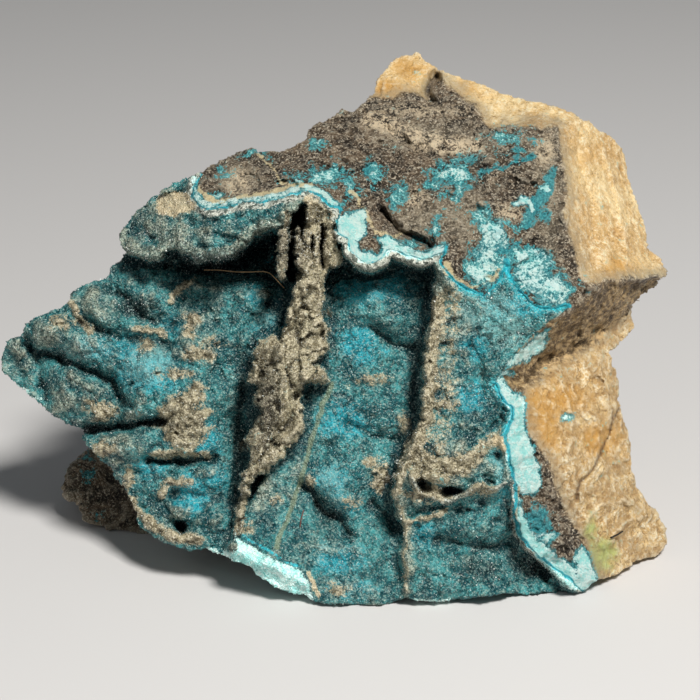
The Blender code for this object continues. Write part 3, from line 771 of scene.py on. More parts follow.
def relief(across, down, paint):
    """Height of the stone's face over the map, in millimetres."""
    over, along, ragged_over, ragged_along = outlined(across, down)
    height = sheet_through(LEFT_WING, across, down)
    for patch, spread in PATCHES:
        outline, spots = patch
        place = (ragged_over, ragged_along) if patch in RAGGED else (over, along)
        cover = smooth(3.5, -3.5, outline_distance(outline, *place) - spread)
        height += cover * (sheet_through(spots, across, down) - height)
    septum = septum_cover(ragged_over, ragged_along)
    height += septum * (sheet_through(SEPTUM[1], across, down) - height)
    bent_over, bent_along = wandering(over, along, 11, 34, 5)
    for x, y, radius, rise in LUMPS:
        square = ((bent_over - x) ** 2 + (bent_along - y) ** 2) / radius**2
        height += rise * np.exp(-2 * square)
    for width, rise, points in FURROWS:
        height += rise * np.exp(-((line_distance(points, over, along) / width) ** 1.5))

    flat = np.stack([across, down, np.zeros_like(across)], axis=-1)
    druse = smooth(-2, 6, paint["druse"])
    bare = druse * (1 - septum)
    calm = 1 - 0.55 * covered(over, along, [MIDDLE_PANEL[0]], soft=10.0)
    ledge = smooth(6, -6, outline_distance(LEDGE[0], over, along))
    domes = 1.3 * (pebbled(flat, 36, 31) - 0.6) + (0.9 - 0.6 * ledge) * (pebbled(flat, 17, 32) - 0.6)
    height += bare * calm * domes
    craggy = 1 + 0.5 * ledge
    height += bare * calm * craggy * (1.2 * chipped(flat, 24, 44) + 0.8 * chipped(flat, 11, 45))
    crests = ridged(map_noise(across, down, 22, 3, 46))
    height += bare * (0.4 * map_noise(across, down, 60, 3, 33) + 0.35 * crests)
    ribs = np.stack([across + 0.23 * down, 0.3 * down, np.zeros_like(across)], axis=-1)
    bent_over, bent_along = wandering(across, down, 5, 15, 9)
    stem = np.stack([bent_over + 0.23 * bent_along, 0.45 * bent_along, np.zeros_like(across)], axis=-1)
    flakes = np.stack([0.8 * bent_over, bent_along + 0.5 * bent_over, np.zeros_like(across)], axis=-1)
    height += septum * (3.6 * chipped(stem, 26, 34) + 1.8 * chipped(flakes, 14, 35))
    height += septum * (1.0 * plated(stem, 30, 47) + 0.6 * ridged(fractal(ribs, 18, 2, 48)))
    crust = paint["crust"] * (1 - septum)
    height += crust * (0.35 + 0.5 * ridged(map_noise(across, down, 14, 3, 36)))
    for x, y, wide, tall, deep in HOLES:
        square = ((over - x) / wide) ** 2 + ((along - y) / tall) ** 2
        height -= deep * smooth(1.6, 0.5, square)
    rock = (1 - druse) * (1 - smooth(-4, 4, paint["jasper"]))
    slanted = np.stack([across + 0.7 * down, 1.5 * down - 0.7 * across, np.zeros_like(across)], axis=-1)
    chips = 1.4 * chipped(slanted, 48, 38) + 0.6 * chipped(slanted, 18, 41)
    height += rock * (0.8 * map_noise(across, down, 45, 4, 37) + (1 - 0.7 * paint["mint"]) * chips)
    plates = 0.3 * (1 - paint["mint"]) * plated(flat, 7, 50)
    height += rock * (0.3 * ridged(map_noise(across, down, 20, 3, 49)) + plates)
    jasper = smooth(-4, 4, paint["jasper"])
    height += jasper * (0.6 * map_noise(across, down, 70, 3, 39) + 1.1 * chipped(flat, 55, 40))
    jasper *= 0.3 + 0.7 * paint["dull"]
    height += jasper * (0.4 * ridged(map_noise(across, down, 26, 4, 42)) + 0.5 * chipped(flat, 16, 43))
    height += jasper * (0.22 * ridged(map_noise(across, down, 8, 2, 51)) + 0.25 * chipped(flat, 7, 52))
    return height


def placed(across, down, depth):
    """A point of the map at a depth, in the stone's own frame with its base at z = 0."""
    scale = FACE_STEP * (EYE_DISTANCE - depth) / EYE_DISTANCE
    right = (across - FACE_STEPS / 2) * scale
    rise = (FACE_STEPS / 2 - down) * scale
    lean_sin, lean_cos = math.sin(FACE_LEAN), math.cos(FACE_LEAN)
    return (
        FACE_CENTRE[0] + right,
        FACE_CENTRE[1] + rise * lean_sin - depth * lean_cos,
        FACE_CENTRE[2] + rise * lean_cos + depth * lean_sin,
    )


def mapped(points):
    """Where points of the stone's frame lie on the map: across, down and depth."""
    lean_sin, lean_cos = math.sin(FACE_LEAN), math.cos(FACE_LEAN)
    right, ahead, up = (points - FACE_CENTRE).T
    rise = ahead * lean_sin + up * lean_cos
    depth = up * lean_sin - ahead * lean_cos
    scale = FACE_STEP * (EYE_DISTANCE - depth) / EYE_DISTANCE
    return FACE_STEPS / 2 + right / scale, FACE_STEPS / 2 - rise / scale, depth


ACROSS, DOWN = np.meshgrid(
    np.arange(MAP_LEFT, MAP_RIGHT, CELL), np.arange(MAP_TOP, MAP_BOTTOM, CELL), indexing="ij"
)
PAINT = painted(ACROSS, DOWN)
FACE = relief(ACROSS, DOWN, PAINT)
# How far the face stands above its mean around it: the druse turns tan where it stands out, and druse and
# crust get painted shade where it lies below.
PAINT["raised"] = FACE - nearby(FACE, round(RAISED_REACH / CELL), np.mean)
PAINT["raised"] = np.clip(PAINT["raised"], -RAISED_HEIGHT, RAISED_HEIGHT)


def looked_up(raster, across, down):
    """The value of a map raster at each map point."""
    column = np.clip((across - MAP_LEFT) / CELL, 0, raster.shape[0] - 1.001)
    row = np.clip((down - MAP_TOP) / CELL, 0, raster.shape[1] - 1.001)
    i, j = column.astype(int), row.astype(int)
    u, v = column - i, row - j
    near = raster[i, j] * (1 - v) + raster[i, j + 1] * v
    far = raster[i + 1, j] * (1 - v) + raster[i + 1, j + 1] * v
    return near * (1 - u) + far * u


# ---------------------------------------------------------------- the carved stone


def block():
    """The carved block's numbers, negative inside the stone."""
    depth = np.arange(*DEPTHS, DEPTH_CELL, dtype=np.float32)
    across, down = wandering(ACROSS, DOWN, EDGE_WANDER, 9, 3)
    across, down = across.astype(np.float32), down.astype(np.float32)
    face = FACE.astype(np.float32)[..., None]
    cells = round(EDGE_REACH / CELL)
    underside = nearby(nearby(face, cells, np.min), cells // 2, np.mean)
    foot_face = sheet_through(FOOT_FRONT, ACROSS, DOWN).astype(np.float32)[..., None]
    lean = np.maximum(sheet_through(WALL_LEAN, ACROSS, DOWN), LEAST_LEAN).astype(np.float32)[..., None]
    rim = (outline_distance(STONE, across, down) * FACE_STEP).astype(np.float32)[..., None]
    foot_rim = (outline_distance(FOOT, across, down) * FACE_STEP).astype(np.float32)[..., None]
    x, y, z = placed(ACROSS.astype(np.float32)[..., None], DOWN.astype(np.float32)[..., None], depth)

    back = np.full(x.shape, -np.inf, np.float32)
    for azimuth, elevation, distance in BACK_PLANES:
        azimuth, elevation = math.radians(azimuth), math.radians(elevation)
        reach = (x - CORE[0]) * (math.cos(azimuth) * math.cos(elevation))
        reach += (y - CORE[1]) * (math.sin(azimuth) * math.cos(elevation))
        reach += (z - CORE[2]) * math.sin(elevation)
        np.maximum(back, reach - distance, out=back)

    np.minimum(back, underside - depth - LEAST_THICKNESS, out=back)
    numbers = np.maximum(depth - face, rim + lean * np.maximum(face - depth, 0))
    np.maximum(numbers, back, out=numbers)
    foot = np.maximum(depth - foot_face, foot_rim + LEAST_LEAN * np.maximum(foot_face - depth, 0))
    np.maximum(foot, foot_face - depth - FOOT_THICKNESS, out=foot)
    np.minimum(numbers, foot, out=numbers)
    return np.maximum(numbers, -z)


def carved():
    """Points, in millimetres, and four-cornered faces of the block's zero surface."""
    grid = vdb.FloatGrid(background=1.0)
    grid.gridClass = vdb.GridClass.LEVEL_SET
    grid.copyFromArray(np.clip(block(), -1, 1), tolerance=0)
    points, quads = grid.convertToQuads(isovalue=0.0)
    across, down = MAP_LEFT + points[:, 0] * CELL, MAP_TOP + points[:, 1] * CELL
    points = np.stack(placed(across, down, DEPTHS[0] + points[:, 2] * DEPTH_CELL), axis=1)
    return largest_shell(points, quads.astype(np.int64))


def largest_shell(points, quads):
    """Only the largest of the separate shells, so no crumbs are left."""
    label = np.arange(len(points))
    ends = np.concatenate([quads[:, [0, 1]], quads[:, [1, 2]], quads[:, [2, 3]]])
    while True:
        lowest = np.minimum(label[ends[:, 0]], label[ends[:, 1]])
        before = label.copy()
        np.minimum.at(label, ends[:, 0], lowest)
        np.minimum.at(label, ends[:, 1], lowest)
        label = label[label]
        if (label == before).all():
            break
    main = np.bincount(label).argmax()
    kept = label == main
    order = np.cumsum(kept) - 1
    return points[kept], order[quads[kept[quads[:, 0]]]]


def mesh_of(name, points, faces):
    """A mesh from points in millimetres and faces with the same number of corners each."""
    mesh = bpy.data.meshes.new(name)
    mesh.vertices.add(len(points))
    mesh.vertices.foreach_set("co", (points * METRE).astype(np.float32).ravel())
    corners = faces.shape[1]
    mesh.loops.add(faces.size)
    mesh.loops.foreach_set("vertex_index", faces.astype(np.int32).ravel())
    mesh.polygons.add(len(faces))
    mesh.polygons.foreach_set("loop_start", np.arange(0, faces.size, corners, dtype=np.int32))
    mesh.update(calc_edges=True)
    return mesh


def read(collection, name, kind, width=1):
    """One property of everything in a mesh collection, as an array."""
    values = np.empty(len(collection) * width, kind)
    collection.foreach_get(name, values)
    return values.reshape(-1, width) if width > 1 else values


def thinned(points, quads, before, behind):
    """The mesh as triangles, fewer of them behind the face, and where each of its points was before."""
    mesh = mesh_of("carving", points, quads)
    kept = mesh.attributes.new("before", "FLOAT_VECTOR", "POINT")
    kept.data.foreach_set("vector", before.astype(np.float32).ravel())
    carving = bpy.data.objects.new("carving", mesh)
    bpy.context.scene.collection.objects.link(carving)
    hidden = np.flatnonzero(behind > FRONT_DEPTH)
    group = carving.vertex_groups.new(name="behind")
    group.add(hidden.tolist(), 1.0, "REPLACE")
    fewer = carving.modifiers.new("fewer", "DECIMATE")
    fewer.vertex_group = "behind"
    in_sight = 1 - len(hidden) / len(points)
    fewer.ratio = in_sight + (1 - in_sight) * BACK_SHARE
    fewer.use_collapse_triangulate = True
    evaluated = carving.evaluated_get(bpy.context.evaluated_depsgraph_get())
    result = evaluated.to_mesh()
    result.calc_loop_triangles()
    fewer_points = read(result.vertices, "co", np.float32, 3).astype(float) / METRE
    triangles = read(result.loop_triangles, "vertices", np.int32, 3)
    before = read(result.attributes["before"].data, "vector", np.float32, 3).astype(float)
    evaluated.to_mesh_clear()
    bpy.data.objects.remove(carving)
    bpy.data.meshes.remove(mesh)
    return fewer_points, triangles, before


# ---------------------------------------------------------------- grain and pieces


def roughened(points, normals, paint, behind):
    """The points moved out and in along their normals, each kind of stone in its own grain."""
    front = smooth(2.5, 0.8, behind)
    druse = smooth(-1, 3, paint["druse"]) * front
    crust = paint["crust"] * druse
    jasper = smooth(-3, 3, paint["jasper"]) * (1 - druse)
    rock = (1 - druse) * (1 - jasper)
    domes = 0.24 * (pebbled(points, 1.5, 51) - 0.6) + 0.15 * (pebbled(points, 0.7, 52) - 0.6)
    grain = (druse - crust) * domes
    grain += crust * (
        0.12 * fractal(points, 0.9, 2, 53) + 0.5 * chipped(points, 2.4, 54) + 0.12 * chipped(points, 0.9, 61)
    )
    grain += rock * (
        0.2 * fractal(points, 2.2, 4, 55) + 0.5 * chipped(points, 1.5, 56) + 0.2 * chipped(points, 0.8, 62)
    )
    grain += jasper * (
        0.14 * fractal(points, 2.0, 3, 57) + 0.4 * chipped(points, 1.7, 58) + 0.2 * chipped(points, 0.8, 63)
    )
    grain += (1 - front) * (0.7 * fractal(points, 8.0, 4, 59) + 1.6 * chipped(points, 8.5, 60))
    grain += (1 - front) * 0.6 * chipped(points, 3.2, 64)
    grain *= smooth(0.0, 0.8, points[:, 2])
    moved = points + normals * grain[:, None]
    moved[:, 2] = np.maximum(moved[:, 2], 0)
    return moved


def normals_of(points, triangles):
    """The smooth normal at each point."""
    mesh = mesh_of("normals", points, triangles)
    normals = read(mesh.vertex_normals, "vector", np.float32, 3).astype(float)
    bpy.data.meshes.remove(mesh)
    return normals


def standing_out(points, normals, triangles):
    """How far each point stands out from those around it, in millimetres, negative in hollows."""
    ends = np.concatenate([triangles[:, [0, 1]], triangles[:, [1, 2]], triangles[:, [2, 0]]])
    ends = np.concatenate([ends, ends[:, ::-1]])
    count = np.bincount(ends[:, 0], minlength=len(points))
    around = points
    for _ in range(CREST_REACH):
        axes = [np.bincount(ends[:, 0], around[ends[:, 1], axis], len(points)) for axis in range(3)]
        around = np.stack(axes, axis=1) / count[:, None]
    return ((points - around) * normals).sum(axis=1)


def finished(name, mesh, attributes, spread):
    """A piece of the stone: its object, its paint attributes and its flat layout for baking."""
    for key, values in attributes.items():
        mesh.attributes.new(key, "FLOAT", "POINT").data.foreach_set("value", values.astype(np.float32))
    corners = read(mesh.loops, "vertex_index", np.int32)
    mesh.uv_layers.new(name="OFBake").data.foreach_set("uv", spread[corners].astype(np.float32).ravel())
    mesh.materials.append(STONE_PAINT)
    piece = bpy.data.objects.new(name, mesh)
    bpy.context.scene.collection.objects.link(piece)
    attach(piece, "root")
    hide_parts("specimen")


def spread_flat(points, around_back):
    """Where each point lies in the piece's flat layout: by the map, or for the back by its direction."""
    if not around_back:
        across, down, _ = mapped(points)
        return np.stack([across, FACE_STEPS - down], axis=1) / FACE_STEPS
    away = points - CORE
    away /= np.linalg.norm(away, axis=1, keepdims=True)
    turn = np.arctan2(away[:, 2], away[:, 0])
    radius = np.arccos(np.clip(away[:, 1], -1, 1)) / (2 * math.pi)
    return np.stack([0.5 + radius * np.cos(turn), 0.5 + radius * np.sin(turn)], axis=1)


def cut_out(name, points, normals, triangles, attributes, around_back):
    """One piece of the whole surface, with the whole surface's normals, so that no seam shows."""
    used = np.unique(triangles)
    order = np.zeros(len(points), np.int64)
    order[used] = np.arange(len(used))
    mesh = mesh_of(name, points[used], order[triangles])
    mesh.polygons.foreach_set("use_smooth", np.ones(len(triangles), bool))
    mesh.normals_split_custom_set_from_vertices(normals[used])
    kept = {key: values[used] for key, values in attributes.items()}
    finished(name, mesh, kept, spread_flat(points[used], around_back))


def crystals(name, points, normals, triangles, attributes, rng):
    """Small three-sided crystals standing out of the surface, spread evenly over it."""
    ends = points[triangles]
    area = np.linalg.norm(np.cross(ends[:, 1] - ends[:, 0], ends[:, 2] - ends[:, 0]), axis=1)
    chosen = rng.choice(len(triangles), CRYSTALS, p=area / area.sum())
    shares = rng.dirichlet((1, 1, 1), CRYSTALS)[..., None]
    base = (points[triangles[chosen]] * shares).sum(axis=1)
    out = (normals[triangles[chosen]] * shares).sum(axis=1)
    out /= np.linalg.norm(out, axis=1, keepdims=True)
    side = np.cross(out, rng.normal(size=(CRYSTALS, 3)))
    side /= np.linalg.norm(side, axis=1, keepdims=True)
    other = np.cross(out, side)
    radius = CRYSTAL_RADIUS * rng.lognormal(0, 0.28, CRYSTALS)[:, None]
    corners = [
        base + side * radius * math.cos(turn) + other * radius * math.sin(turn) - out * radius * 0.7
        for turn in (0, math.tau / 3, 2 * math.tau / 3)
    ]
    lean = side * rng.uniform(-0.6, 0.6, (CRYSTALS, 1)) + other * rng.uniform(-0.6, 0.6, (CRYSTALS, 1))
    tip = base + (out + lean) * radius * rng.uniform(0.7, 1.3, (CRYSTALS, 1))
    vertices = np.stack(corners + [tip], axis=1).reshape(-1, 3)
    vertices[:, 2] = np.maximum(vertices[:, 2], 0)
    sides = np.array([(0, 1, 3), (1, 2, 3), (2, 0, 3), (2, 1, 0)])
    faces = (np.arange(CRYSTALS)[:, None, None] * 4 + sides).reshape(-1, 3)
    mesh = mesh_of(name, vertices, faces)
    mesh.polygons.foreach_set("use_smooth", np.zeros(len(faces), bool))
    kept = {key: np.repeat(values[triangles[chosen, 0]], 4) for key, values in attributes.items()}
    kept["tint"] = np.repeat(rng.uniform(0, 1, CRYSTALS), 4)
    finished(name, mesh, kept, spread_flat(vertices, around_back=False))


# ---------------------------------------------------------------- paint


def shown(red, green, blue):
    """A colour given as it looks on a screen, 0 to 255, as the light values that shaders take."""
    parts = [part / 255 for part in (red, green, blue)]
    return (*[part / 12.92 if part <= 0.04045 else ((part + 0.055) / 1.055) ** 2.4 for part in parts], 1)


def plain_paint(name, colour, roughness=0.5):
    """A material of one even colour."""
    material = bpy.data.materials.new(name)
    material.use_nodes = True
    shader = material.node_tree.nodes["Principled BSDF"]
    shader.inputs["Base Color"].default_value = colour
    shader.inputs["Roughness"].default_value = roughness
    return material


class Share:
    """A number that varies over the stone, worked out by shader nodes."""

    def __init__(self, paint, socket):
        self.paint, self.socket = paint, socket

    def math(self, operation, *values):
        return self.paint.number("ShaderNodeMath", dict(enumerate((self, *values))), operation=operation)

    def __add__(self, other):
        return self.math("ADD", other)

    def __mul__(self, other):
        return self.math("MULTIPLY", other)

    def push(self, reach):
        """Noise from 0 to 1 as a push of so much either way."""
        return self.math("MULTIPLY_ADD", 2 * reach, -reach)

    def pushed(self, **reaches):
        """This number with the named noises pushing it so much either way."""
        total = self
        for noise, reach in reaches.items():
            total = total + getattr(self.paint, noise).push(reach)
        return total

    def step(self, low, high):
        """0 below low and 1 above high, or the other way round where high is the smaller."""
        inputs = {0: self, 1: low, 2: high} if low < high else {0: self, 1: high, 2: low, 3: 1.0, 4: 0.0}
        return self.paint.number("ShaderNodeMapRange", inputs, interpolation_type="SMOOTHSTEP")


class StonePaint:
    """The stone's one material: its kinds of stone, laid over one another by the marks of the face map.

    Colours are as they look on a screen, and sizes are in millimetres. A layer is a share from 0 to 1 and a
    colour.
    """

    def __init__(self):
        self.material = bpy.data.materials.new("chrysocolla_stone")
        self.material.use_nodes = True
        self.tree = self.material.node_tree
        place = self.tree.nodes.new("ShaderNodeTexCoord").outputs["Object"]
        self.place = self.node("ShaderNodeVectorMath", {0: place, "Scale": 1 / METRE}, operation="SCALE")
        self.fine, self.small = self.noise(0.28, 4.0, 0.7), self.noise(1.1, 6.0, 0.7)
        self.middle, self.broad = self.noise(3.0, 6.0, 0.65), self.noise(9.0, 4.0, 0.6)
        self.streaks = self.drawn_out(0.7, 1.8)
        self.grain, self.coarse_grain = self.grains(0.2), self.grains(0.36)
        # From how far each point stands out: shares for painted highlights on crests and painted shade in
        # hollows.
        crest = self.mark("crest", fine=1.0)
        self.crest, self.painted_hollow_shade = crest.step(0.1, 1.1), crest.step(-0.1, -1.1)

        self.jasper_share = self.mark("jasper", middle=8.0, fine=4.0).step(-2.0, 3.0)
        self.druse_share = self.mark("druse", fine=1.5).step(-0.8, 0.8)
        self.solid_mint = self.mark("mint", small=0.9, fine=0.5)
        self.cream_share = self.mark("cream", small=1.0, fine=0.7).step(0.4, 0.85)
        inputs = self.tree.nodes["Principled BSDF"].inputs
        self.tree.links.new(self.colour(), inputs["Base Color"])
        self.tree.links.new(self.roughness().socket, inputs["Roughness"])
        bump = {"Height": self.height(), "Distance": METRE, "Strength": 1.0}
        self.tree.links.new(self.node("ShaderNodeBump", bump), inputs["Normal"])

    def node(self, kind, inputs, output=0, **settings):
        """One output of a new node whose inputs are linked or set."""
        made = self.tree.nodes.new(kind)
        for key, value in settings.items():
            setattr(made, key, value)
        for key, value in inputs.items():
            value = getattr(value, "socket", value)
            if isinstance(value, bpy.types.NodeSocket):
                self.tree.links.new(value, made.inputs[key])
            else:
                made.inputs[key].default_value = value
        return made.outputs[output]

    def number(self, kind, inputs, output=0, **settings):
        return Share(self, self.node(kind, inputs, output, **settings))

    def mark(self, name, **reaches):
        """One of the stone's marks, with the named noises pushing it so much either way."""
        return self.number("ShaderNodeAttribute", {}, "Fac", attribute_name=name).pushed(**reaches)

    def noise(self, size, detail, roughness):
        """Noise from 0 to 1 whose features are about so many millimetres."""
        inputs = {"Vector": self.place, "Scale": 1 / size, "Detail": detail, "Roughness": roughness}
        return self.number("ShaderNodeTexNoise", inputs)

    def drawn_out(self, size, length):
        """Noise from 0 to 1 drawn out along one slanting direction."""
        turned = {0: self.place, 2: (0.3, 0.5, 0.4), 3: (1 / length, 1 / size, 1 / size)}
        turned = self.node("ShaderNodeMapping", turned)
        inputs = {"Vector": turned, "Scale": 1.0, "Detail": 5.0, "Roughness": 0.6}
        return self.number("ShaderNodeTexNoise", inputs)

    def grains(self, size):
        """A random value for each grain of the given size."""
        found = self.node("ShaderNodeTexVoronoi", {"Vector": self.place, "Scale": 1 / size}, "Color")
        return self.number("ShaderNodeSeparateColor", {0: found})

    def edges(self, size):
        """Distance, in shares of the size, from the edges of crooked chips."""
        crooked = self.node("ShaderNodeTexNoise", {"Vector": self.place, "Scale": 1 / size, "Detail": 2.0}, 1)
        crooked = self.node("ShaderNodeVectorMath", {0: crooked, "Scale": 0.9 * size}, operation="SCALE")
        crooked = self.node("ShaderNodeVectorMath", {0: self.place, 1: crooked}, operation="ADD")
        inputs = {"Vector": crooked, "Scale": 1 / size}
        return self.number("ShaderNodeTexVoronoi", inputs, "Distance", feature="DISTANCE_TO_EDGE")

    def mix(self, share, first, second):
        """Two colours mixed."""
        first, second = (
            shown(*colour) if isinstance(colour, tuple) else colour for colour in (first, second)
        )
        return self.node("ShaderNodeMix", {0: share, 6: first, 7: second}, 2, data_type="RGBA")

    def blend(self, share, first, second):
        """Two numbers mixed."""
        return self.number("ShaderNodeMix", {0: share, 2: first, 3: second})

    def layered(self, colour, *layers):
        """A colour under layers."""
        for share, layer in layers:
            colour = self.mix(share, colour, layer)
        return colour

    def rock(self):
        """Brown rock, granular, with pale specks and painted glints, highlights and shade."""
        fine, small = self.fine, self.small
        speckle = self.mark("speckle") * fine.pushed(small=0.7).step(0.4, 0.58)
        return self.layered(
            self.mix(self.middle.pushed(broad=0.25, small=0.2).step(0.36, 0.66), (42, 33, 25), (116, 97, 75)),
            # darker patches on the rock's facets where the shade blobs lie
            (self.mark("shade") * small.step(0.7, 0.4) * 0.8, (34, 30, 26)),
            (self.streaks.step(0.52, 0.62) * 0.5, (166, 146, 120)),
            (self.mark("bright", middle=0.5, small=0.6).step(0.25, 0.9) * 0.6, (178, 165, 140)),
            (small.step(0.46, 0.34) * 0.7, (40, 36, 29)),
            # painted glints: fine pale specks
            (fine.step(0.53, 0.62) * 0.85, (222, 210, 186)),
            (fine.step(0.44, 0.34) * 0.8, (30, 26, 20)),
            # painted glints on a few grains
            (self.grain.step(0.93, 0.97) * 0.45, (214, 204, 182)),
            # painted highlights on what stands out, then painted shade in the hollows
            (self.crest * 0.35, (206, 194, 170)),
            (self.painted_hollow_shade * 0.55, (30, 26, 20)),
            (speckle * 0.9, (238, 218, 184)),
        )

    def jasper(self):
        """Jasper, golden with rusty and creamy parts, grainier low down, greyer where it meets the rock."""
        fine, small, middle = self.fine, self.small, self.middle
        dull = self.mark("dull")
        mottled = small.pushed(fine=0.6)
        grainy = dull * 0.8 + 0.2
        # painted highlights along the edges of small chips
        painted_chip_highlights = self.edges(1.0).step(0.16, 0.05) * small.step(0.48, 0.58) * grainy
        dark_arcs = self.edges(1.5).step(0.11, 0.03) * small.step(0.54, 0.44) * grainy
        return self.layered(
            self.mix(self.broad.pushed(small=0.12).step(0.36, 0.64), (214, 174, 112), (240, 210, 152)),
            (mottled.step(0.5, 0.68) * 0.65, (252, 240, 206)),
            (middle.step(0.54, 0.68) * 0.4, (190, 142, 84)),
            (mottled.step(0.42, 0.24) * 0.7, (142, 110, 68)),
            # painted glints
            (fine.step(0.6, 0.7) * 0.7, (255, 246, 220)),
            (painted_chip_highlights * 0.75, (255, 246, 218)),
            (dark_arcs * 0.6, (128, 96, 54)),
            (dull * middle.step(0.35, 0.6) * 0.7, (168, 136, 92)),
            (self.mark("orange", middle=0.8, small=0.4).step(0.1, 1.2) * 0.75, (202, 148, 62)),
            # painted highlights on what stands out, then painted shade in the hollows
            (self.crest * 0.4, (255, 242, 208)),
            (self.painted_hollow_shade * 0.4, (140, 104, 58)),
            (self.mark("green", small=1.0, middle=0.6).step(0.1, 1.2) * 0.75, (178, 194, 112)),
            (self.mark("crack") * 0.9, (74, 52, 38)),
            (self.mark("jasper", middle=14.0).step(16.0, 2.0) * 0.6, (142, 130, 108)),
        )

    def notch(self):
        """The streaky underside of the upper jasper, brown, painted darker as the shade it lies in."""
        streaks = self.streaks.pushed(middle=0.5, fine=0.3)
        return self.layered(
            self.mix(streaks.step(0.36, 0.68), (106, 86, 58), (202, 170, 120)),
            # painted highlights on what stands out, then painted shade in the hollows
            (self.crest * 0.4, (232, 206, 160)),
            (self.painted_hollow_shade * 0.5, (62, 48, 30)),
        )

    def mint(self):
        """Solid chrysocolla, whiter in places."""
        return self.layered(
            self.mix(self.small.pushed(fine=0.4).step(0.36, 0.64), (160, 236, 230), (230, 255, 250)),
            (self.broad.pushed(small=0.3, fine=0.2).step(0.45, 0.7) * 0.6, (222, 248, 236)),
        )

    def stained(self, rock, mint):
        """Chrysocolla on the rock: stain at its edge, then aqua, then mint, and cream beside it."""
        on_back = self.mark("behind").step(5.0, 9.0) * self.broad.step(0.56, 0.7)
        bloom = self.mark("bloom") + on_back * 0.8
        bloom = bloom.pushed(small=1.3, middle=0.7, fine=0.8) * bloom.step(0.0, 0.1)
        stain = bloom.step(0.5, 0.62).math("MAXIMUM", self.mark("teal", small=1.1, fine=0.5).step(0.5, 0.8))
        near_mint = self.solid_mint.step(0.05, 0.4) * self.mark("mint").step(0.0, 0.05)
        speckled = self.fine.step(0.36, 0.64)
        return self.layered(
            rock,
            (stain.math("MAXIMUM", near_mint) * 0.85, self.mix(speckled, (10, 122, 134), (60, 184, 192))),
            (bloom.step(0.78, 0.9) * 0.9, self.mix(speckled, (88, 188, 190), (136, 214, 208))),
            (bloom.step(0.95, 1.1) * 0.95, mint),
            (self.cream_share * 0.85, (236, 218, 172)),
        )

    def crust(self, pepper):
        """The tan crust of the septum and of the scattered patches."""
        base = self.middle.pushed(small=0.6, fine=0.4).step(0.3, 0.68)
        return self.layered(
            self.mix(base, (120, 110, 84), (180, 168, 136)),
            # painted shade where the shade blobs lie
            (self.mark("shade") * 0.85, (44, 38, 27)),
            (pepper.step(0.3, 0.0) * 0.35, (66, 58, 42)),
            (pepper.step(0.7, 1.0) * 0.35, (214, 206, 178)),
            # painted glints
            (self.fine.step(0.55, 0.66) * 0.55, (224, 214, 186)),
            (self.fine.step(0.44, 0.34) * 0.5, (72, 64, 48)),
            # painted shade where the crust lies below the face around it
            (self.mark("raised").step(-0.2, -1.0) * 0.75, (52, 46, 34)),
            # painted highlights on what stands out, then painted shade in the hollows
            (self.crest * 0.3, (230, 220, 192)),
            (self.painted_hollow_shade * 0.5, (50, 44, 32)),
        )

    def druse(self):
        """Teal crystals, bluer in places, tan where proud, painted shade in grooves, sugary at the rim."""
        raised = self.mark("raised")
        pepper = self.grain.pushed(small=0.8).step(0.1, 0.9)
        dusty = (raised + self.mark("dust")).pushed(small=1.3, fine=0.7)
        sugar = self.coarse_grain.pushed(fine=0.4).step(0.2, 0.7)
        crusty = self.mark("crust", small=1.1, fine=0.8)
        return self.layered(
            self.mix(self.middle.pushed(small=0.4, fine=0.3).step(0.34, 0.68), (20, 76, 82), (76, 154, 154)),
            (self.mark("blue", middle=0.8, small=0.7).step(0.3, 1.0) * 0.8, (40, 170, 186)),
            (self.mark("pale", small=0.8, fine=0.4).step(0.3, 1.0) * 0.5, (136, 186, 182)),
            (self.mark("halo", middle=0.5, small=0.5).step(0.2, 0.9) * 0.7, (62, 180, 190)),
            (dusty.step(0.35, 1.5) * 0.7, self.mix(pepper, (84, 94, 80), (200, 196, 172))),
            # painted shade in the grooves, where the face lies below the face around it
            (raised.pushed(middle=0.8, small=0.5).step(-0.05, -1.0) * 0.8, (12, 50, 56)),
            # painted shade where the shade blobs lie
            (self.mark("shade") * 0.7, (14, 30, 32)),
            (self.coarse_grain.step(0.3, 0.1) * 0.5, (14, 48, 52)),
            (self.grain.step(0.7, 0.84) * 0.4, (160, 188, 178)),
            (
                self.mark("rim", small=0.7, fine=0.4).step(0.35, 0.75) * 0.85,
                self.mix(sugar, (98, 104, 94), (216, 218, 204)),
            ),
            (crusty.step(0.3, 0.75) * 0.95, self.crust(pepper)),
            (self.mark("vein", fine=0.5).step(0.3, 0.9) * 0.75, (134, 148, 120)),
            (self.cream_share * 0.75, (222, 202, 164)),
        )

    def colour(self):
        """Every kind of stone, each crystal a little lighter or darker, a few nearly white as painted glints.
        """
        mint, tint = self.mint(), self.mark("tint")
        notch_share = self.mark("notch") * 0.88
        rock = self.layered(self.rock(), (self.jasper_share, self.jasper()), (notch_share, self.notch()))
        cyan = self.mark("cyan", small=0.9, middle=0.9, fine=0.4)
        sky = self.mix(self.fine.step(0.36, 0.64), (14, 168, 196), (70, 208, 214))
        return self.layered(
            self.stained(rock, mint),
            (self.druse_share, self.druse()),
            (self.solid_mint.step(0.42, 0.7), mint),
            (cyan.step(0.3, 0.8) * 0.95, sky),
            (tint.step(0.85, 1.0) * 0.5, (190, 206, 196)),
            (tint.step(0.25, 0.0) * 0.4, (18, 48, 52)),
            # painted glints: a few crystals nearly white, more where the spark blobs lie
            ((tint + self.mark("spark") * 0.12).step(0.965, 0.97) * 0.9, (240, 244, 238)),
        )

    def roughness(self):
        return self.blend(self.druse_share, self.blend(self.jasper_share, 0.42, 0.34), 0.2).pushed(small=0.2)

